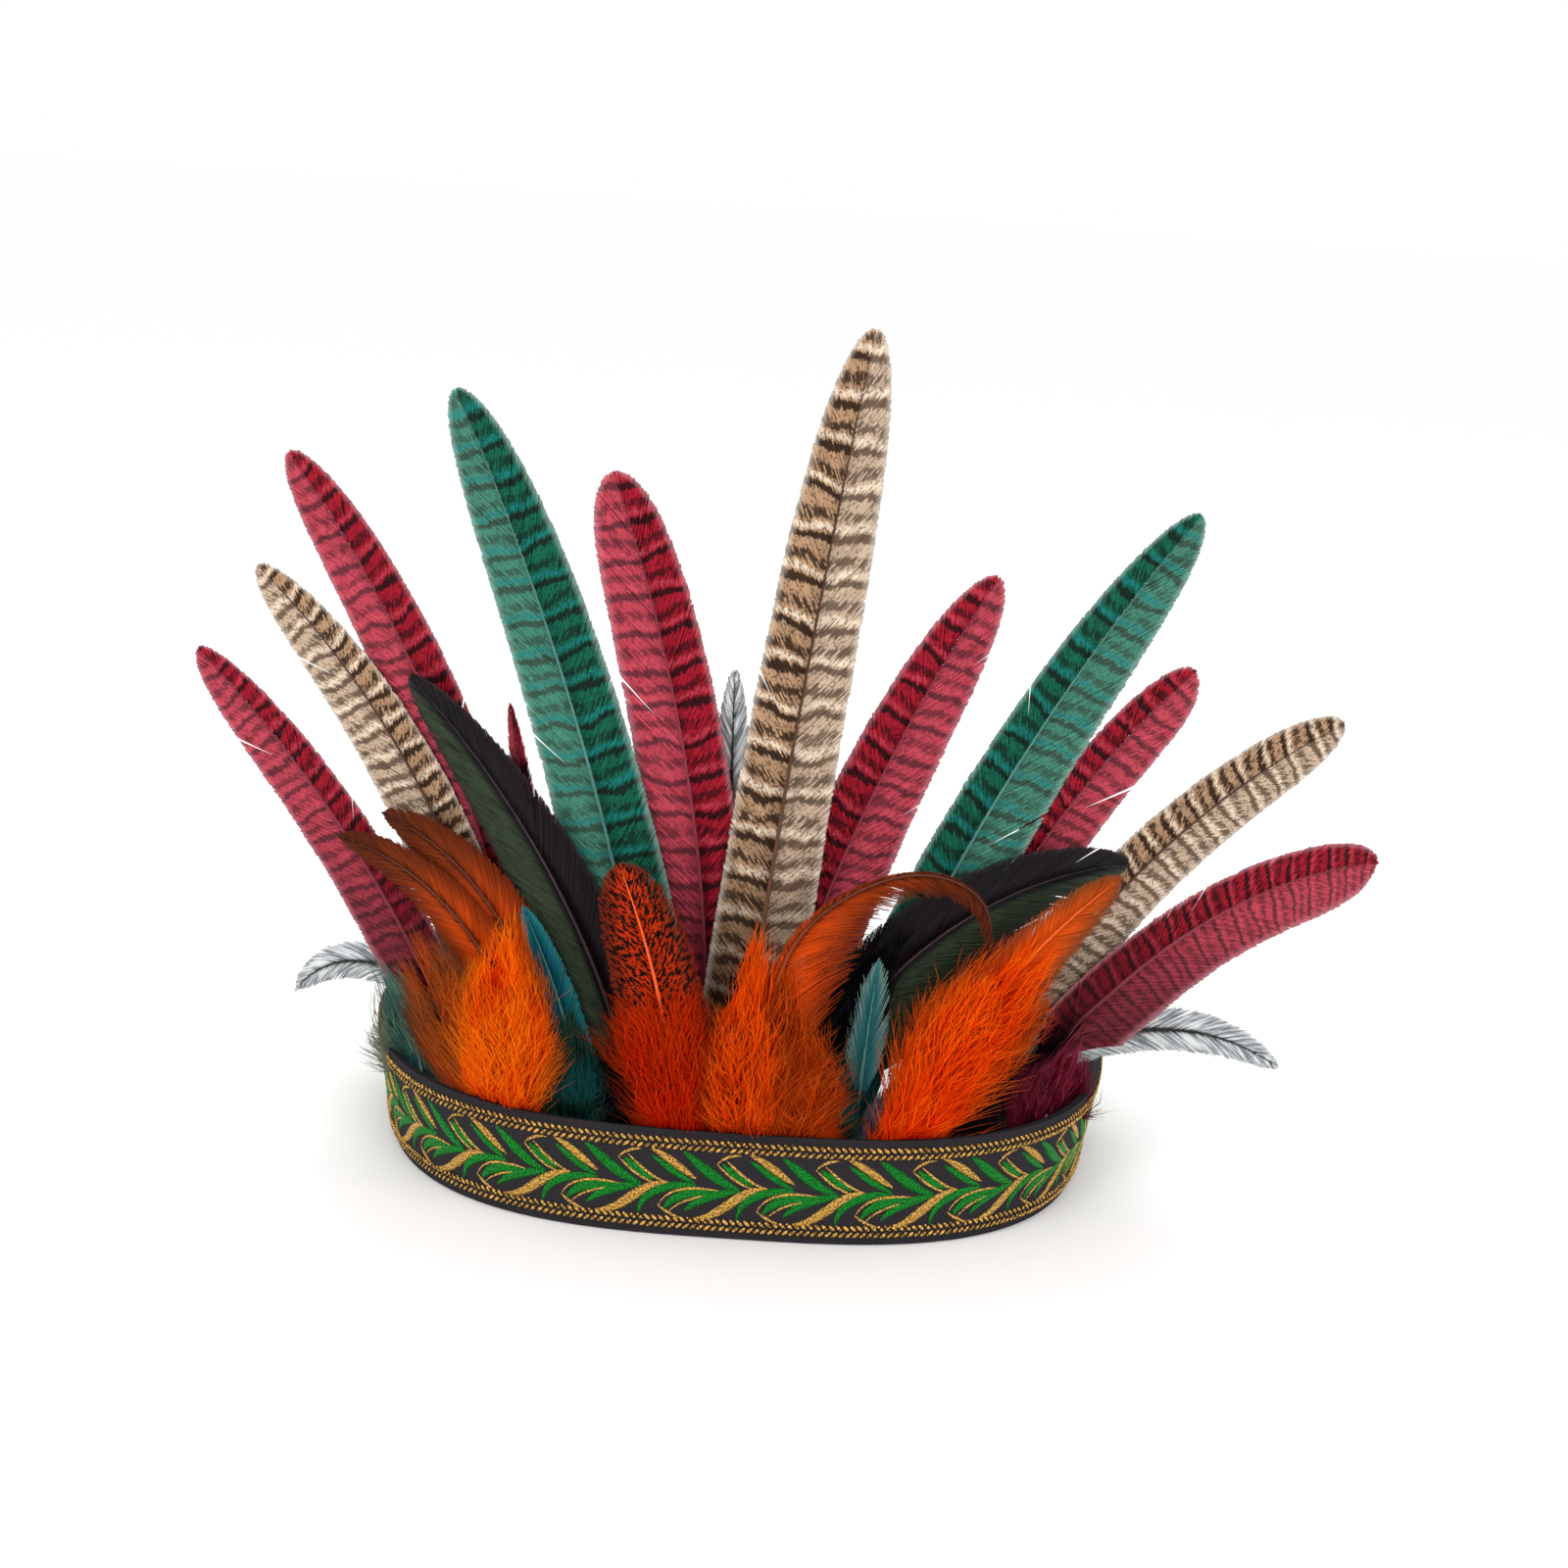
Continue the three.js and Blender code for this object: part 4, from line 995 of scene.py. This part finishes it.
twill = threads_of(tree, sums(tree, "ADD", along, times(tree, up, 0.6)), 0.42)
weft = threads_of(tree, up, 0.36)
weave = sums(tree, "ADD", times(tree, twill, 0.6), times(tree, weft, 0.5))
lint = grain(tree, along, 0.9, up, 2.4, 3)
link(tree, shader.inputs["Base Color"], blend(tree, times(tree, weave, sums(tree, "ADD", lint, 0.3)),
                                              paint(18, 17, 20), paint(64, 60, 64)))
link(tree, shader.inputs["Normal"], bump(tree, weave, 0.0002, 0.6))

bpy.ops.mesh.primitive_grid_add(x_subdivisions=360, y_subdivisions=10, size=1, location=(0, 0, 0))
ribbon = bpy.context.active_object
ribbon.name = "ribbon_woven"
grid = np.empty(len(ribbon.data.vertices) * 3)
ribbon.data.vertices.foreach_get("co", grid)
grid = grid.reshape(-1, 3)
tape_along = grid[:, 0] * LOOP_LENGTH
tape_up = (grid[:, 1] + 0.5) * RIBBON_HEIGHT
edge = np.minimum(tape_up, RIBBON_HEIGHT - tape_up)
wrapped = on_ribbon(tape_along, tape_up, -0.35 * (1 - smooth_step(edge / 0.8)))
for side, place in ((-0.5, -math.pi), (0.5, math.pi)):
    at_end = np.abs(grid[:, 0] - side) < 1e-6
    x, y = wall_point(np.full(at_end.sum(), math.pi), tape_up[at_end], 0.0)
    wrapped[at_end, 0], wrapped[at_end, 1] = x, y
ribbon.data.vertices.foreach_set("co", ((wrapped + shift) * MM).ravel())
layer = ribbon.data.uv_layers.new(name="tape")
corner = np.empty(len(ribbon.data.loops), np.int32)
ribbon.data.loops.foreach_get("vertex_index", corner)
layer.data.foreach_set("uv", np.stack([tape_along, tape_up], -1)[corner].astype(np.float32).ravel())
bpy.ops.object.mode_set(mode="EDIT")
bpy.ops.mesh.select_all(action="SELECT")
bpy.ops.mesh.remove_doubles(threshold=0.00002)
bpy.ops.mesh.normals_make_consistent(inside=False)
bpy.ops.object.mode_set(mode="OBJECT")
wall = ribbon.modifiers.new("thickness", "SOLIDIFY")
wall.thickness = RIBBON_THICKNESS * MM
wall.offset = -1
bpy.ops.object.modifier_apply(modifier="thickness")
bpy.ops.object.shade_smooth_by_angle(angle=math.radians(50))
ribbon.data.materials.clear()
ribbon.data.materials.append(ribbon_ground)
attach(ribbon, "root")
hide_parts("ribbon_band")
ribbon.select_set(False)
print("ribbon triangles:", sum(len(face.vertices) - 2 for face in ribbon.data.polygons))

# %% [markdown]
# The pattern is brocade: satin-stitched leaves stand up from the ground. Each leaf is a low cushion along
# a curved midline. The same eight leaves repeat round the loop: green ones, solid gold ones, and green
# ones with a gold line round them. Points are given along the ribbon and above its middle line in mm.

# %% Thread colours
def thread_material(name, dark, light, pitch, slant, roughness):
    made, tree, shader = material(name, roughness, 0.15)
    along, up = split(tree, map_of(tree, "tape"))
    lines = threads_of(tree, sums(tree, "MULTIPLY_ADD", up, slant, along), pitch)
    spots = grain(tree, along, 2.2, up, 2.2, 1)
    share = sums(tree, "MULTIPLY_ADD", ease(tree, spots, 0.44, 0.56), 0.7, times(tree, lines, 0.4))
    link(tree, shader.inputs["Base Color"], blend(tree, share, dark, light))
    link(tree, shader.inputs["Normal"], bump(tree, lines, 0.00015, 0.8))
    return made


leaf_green = thread_material("leaf_green", paint(0, 52, 10), paint(14, 150, 44), 0.5, 0.9, 0.6)
gold_thread = thread_material("gold_thread", paint(40, 20, 4), paint(244, 188, 88), 0.62, -1.1, 0.5)
gold_line = thread_material("gold_line", paint(50, 28, 6), paint(250, 194, 96), 0.5, 0.3, 0.5)

# %% Leaves as low cushions
REPEATS = 25
REPEAT = LOOP_LENGTH / REPEATS
PATTERN_START = 8.0
MIDDLE_LINE = RIBBON_HEIGHT / 2


def curve_of(points, number):
    """A smooth line through three or four given points."""
    points = np.array(points, float)
    share = np.concatenate([[0], np.cumsum(np.hypot(*np.diff(points, axis=0).T))])
    share /= share[-1]
    fit = [np.polyfit(share, points[:, axis], len(points) - 1) for axis in (0, 1)]
    steps = np.linspace(0, 1, number)
    return np.stack([np.polyval(line, steps) for line in fit], -1)


def cushion(parts, points, half_width, height, finish, number=12, blunt=0.8):
    """A closed low leaf along a curve, five points across, on the ribbon's face."""
    line = curve_of(points, number)
    run = np.gradient(line, axis=0)
    run /= np.linalg.norm(run, axis=1, keepdims=True)
    beside = np.stack([-run[:, 1], run[:, 0]], -1)
    steps = np.linspace(0, 1, number)
    half = half_width * np.sin(math.pi * (0.04 + 0.92 * steps)) ** blunt
    across = np.array([-1, -0.55, 0, 0.55, 1, 0])
    rise = np.array([-0.05, 0.75, 1, 0.75, -0.05, -0.3])
    spots = line[:, None] + beside[:, None] * (half[:, None] * across[None])[..., None]
    out = height * rise[None] * np.sin(math.pi * (0.1 + 0.8 * steps))[:, None]
    count = len(across)
    points_flat = spots.reshape(-1, 2)
    outs = out.ravel()
    tips = line[[0, -1]]
    points_flat = np.concatenate([points_flat, tips])
    outs = np.concatenate([outs, [0, 0]])
    faces = []
    for i in range(count):
        j = (i + 1) % count
        for ring in range(number - 1):
            a, b = ring * count + i, ring * count + j
            faces += [[a, a + count, b + count], [a, b + count, b]]
        last = (number - 1) * count
        faces += [[i, j, number * count], [last + j, last + i, number * count + 1]]
    faces = np.array(faces)
    for repeat in range(REPEATS):
        along = points_flat[:, 0] + PATTERN_START + repeat * REPEAT
        up = points_flat[:, 1] + MIDDLE_LINE
        parts.add(on_ribbon(along, up, outs), faces, finish, tape=np.stack([along, up], -1))


GREEN, GOLD, LINE = 0, 1, 2
leaves = Parts()
cushion(leaves, [(-19.6, 7.7), (-15.0, 4.2), (-10.6, 1.2), (-6.2, -0.6)], 1.35, 0.40, GREEN)
cushion(leaves, [(-27.0, 6.4), (-23.4, 4.0), (-20.2, 2.0), (-16.6, 0.3)], 0.85, 0.34, GREEN)
cushion(leaves, [(-27.2, 8.0), (-24.0, 6.4), (-20.6, 4.2), (-16.4, 1.4)], 1.0, 0.36, GOLD)
cushion(leaves, [(-10.4, 5.2), (-8.0, 3.3), (-5.8, 1.9), (-3.2, 0.7)], 1.1, 0.36, GREEN)
cushion(leaves, [(-6.4, -8.0), (-5.4, -4.6), (-1.0, -1.4), (6.6, -0.2)], 1.1, 0.38, GREEN)
cushion(leaves, [(-23.4, -6.4), (-20.8, -3.6), (-17.2, -2.2), (-12.2, -1.5)], 1.3, 0.36, GREEN)
cushion(leaves, [(-18.6, -6.6), (-15.8, -4.2), (-11.6, -2.2), (-6.0, -1.0)], 1.2, 0.38, GREEN)
cushion(leaves, [(-16.4, -8.3), (-11.4, -6.6), (-6.0, -2.4), (0.0, 0.1)], 1.25, 0.38, GOLD)
cushion(leaves, [(-6.2, 7.6), (-9.0, 7.2), (-11.7, 5.2)], 0.38, 0.34, LINE)
cushion(leaves, [(-11.8, 5.3), (-8.4, 2.4), (-5.4, 0.6), (-2.2, -0.5)], 0.38, 0.30, LINE)
cushion(leaves, [(-9.6, 6.2), (-6.6, 3.6), (-3.6, 1.5), (0.3, 0.0)], 0.38, 0.30, LINE)
cushion(leaves, [(-24.8, -5.6), (-22.0, -2.4), (-17.4, -1.0), (-10.6, -1.2)], 0.38, 0.30, LINE)
cushion(leaves, [(-24.9, -5.5), (-22.4, -7.2), (-19.2, -8.4)], 0.38, 0.30, LINE)
cushion(leaves, [(-22.4, -7.2), (-19.4, -4.6), (-15.6, -3.0), (-10.6, -1.5)], 0.32, 0.28, LINE)


def build_on_ribbon(name, parts, materials):
    piece = build(name, parts, materials, "ribbon_band")
    bpy.context.view_layer.objects.active = piece
    piece.select_set(True)
    bpy.ops.object.mode_set(mode="EDIT")
    bpy.ops.mesh.select_all(action="SELECT")
    bpy.ops.mesh.normals_make_consistent(inside=False)
    bpy.ops.object.mode_set(mode="OBJECT")
    piece.select_set(False)
    return piece


build_on_ribbon("ribbon_leaves", leaves, [leaf_green, gold_thread, gold_line])

# %% [markdown]
# Two braids of gold thread run along the edges. Each braid is two rows of short stitches that lean
# towards each other, so one stitch is modelled and copied along the tape.

# %% The herringbone braids
STITCH_STEP = 1.65
stitches = Parts()
stitch_rings = 3
starts = np.arange(round(LOOP_LENGTH / STITCH_STEP)) * LOOP_LENGTH / round(LOOP_LENGTH / STITCH_STEP)
for braid_middle in (RIBBON_HEIGHT - 3.1, 3.3):
    for lean in (1, -1):
        steps = np.linspace(0, 1, stitch_rings + 1)[None]
        along = starts[:, None] + 1.5 * steps + (0.8 if lean < 0 else 0)
        up = braid_middle + lean * (1.35 - 1.25 * steps) + 0 * along
        out = 0.10 + 0.32 * np.sin(math.pi * (0.12 + 0.8 * steps)) + 0 * along
        centres = on_ribbon(along, up, out)
        outward = on_ribbon(along, up, out + 1) - centres
        run = np.gradient(centres, axis=1)
        run /= np.linalg.norm(run, axis=2, keepdims=True)
        side = np.cross(run, outward)
        wide = (0.38 * np.sin(math.pi * (0.2 + 0.65 * steps)))[..., None] * side
        crown, sole = centres + outward * 0.18, centres - outward * 0.25
        ring = np.stack([centres - wide, crown, centres + wide, sole], 2)
        number = len(starts)
        body = ring[:, :-1].reshape(number, -1, 3)
        points = np.concatenate([body, centres[:, -1:], centres[:, :1]], 1)
        each = 4 * stitch_rings + 2
        faces = []
        for i in range(4):
            j = (i + 1) % 4
            for k in range(stitch_rings - 1):
                a, b = 4 * k + i, 4 * k + j
                faces += [[a, a + 4, b + 4], [a, b + 4, b]]
            last = 4 * stitch_rings - 4
            faces += [[last + i, each - 2, last + j], [i, j, each - 1]]
        faces = (np.array(faces)[None] + each * np.arange(number)[:, None, None]).reshape(-1, 3)
        tape = np.stack([np.repeat(along[:, :-1], 4, 1), np.repeat(up[:, :-1], 4, 1)], -1)
        tape = np.concatenate([tape, np.stack([along[:, -1:], up[:, -1:]], -1),
                               np.stack([along[:, :1], up[:, :1]], -1)], 1)
        stitches.add(points, faces, 0, tape=tape)
build_on_ribbon("ribbon_braids", stitches, [gold_line])

# %% [markdown]
# The photograph looks slightly down on the headdress from in front, so the camera stands 690 mm away with
# a long lens. A pale floor and three large soft lights give the even light of a product picture.

# %% Camera
CAMERA_TARGET = Vector((5.82, -60, 102.39))
CAMERA_DISTANCE = 689.63
CAMERA_RISE = math.radians(11.46)
CAMERA_TURN = math.radians(-0.71)
CAMERA_ROLL = math.radians(4.05)
CAMERA_LENS = 67.5
SENSOR_WIDTH = 36
back = Vector((math.sin(CAMERA_TURN) * math.cos(CAMERA_RISE), -math.cos(CAMERA_TURN) * math.cos(CAMERA_RISE),
               math.sin(CAMERA_RISE)))
right = Vector((math.cos(CAMERA_TURN), math.sin(CAMERA_TURN), 0))
up = back.cross(right)
rolled_right = math.cos(CAMERA_ROLL) * right + math.sin(CAMERA_ROLL) * up
rolled_up = back.cross(rolled_right)
spot = (CAMERA_TARGET + back * CAMERA_DISTANCE + Vector(shift)) * MM
turn = Matrix((rolled_right, rolled_up, back)).transposed().to_4x4()
bpy.ops.object.camera_add()
camera = bpy.context.active_object
camera.data.lens = CAMERA_LENS
camera.data.sensor_width = SENSOR_WIDTH
camera.matrix_world = Matrix.Translation(spot) @ turn
camera.select_set(False)
bpy.context.scene.camera = camera

# %% Floor, light and colour
floor_material, tree, shader = material("pale_floor", 0.9)
shader.inputs["Base Color"].default_value = paint(254, 254, 254)
bpy.ops.mesh.primitive_plane_add(size=60, location=(0, 0, -0.0002))
floor = bpy.context.active_object
floor.name = "floor"
floor.data.materials.append(floor_material)
floor.select_set(False)


def soft_light(place, size, power):
    bpy.ops.object.light_add(type="AREA", location=place)
    light = bpy.context.active_object
    light.data.energy = power
    light.data.size = size
    light.rotation_euler = (Vector((0, -0.03, 0.1)) - Vector(place)).to_track_quat("-Z", "Y").to_euler()
    light.select_set(False)


soft_light((-0.7, -0.9, 0.95), 0.7, 5)
soft_light((0.8, -0.7, 0.7), 0.9, 2.5)
soft_light((0.0, 0.9, 0.8), 0.9, 3)
world = bpy.data.worlds.new("studio")
world.use_nodes = True
world.node_tree.nodes["Background"].inputs["Color"].default_value = (1, 1, 1, 1)
world.node_tree.nodes["Background"].inputs["Strength"].default_value = 1.0
bpy.context.scene.world = world
bpy.context.scene.view_settings.view_transform = "Standard"
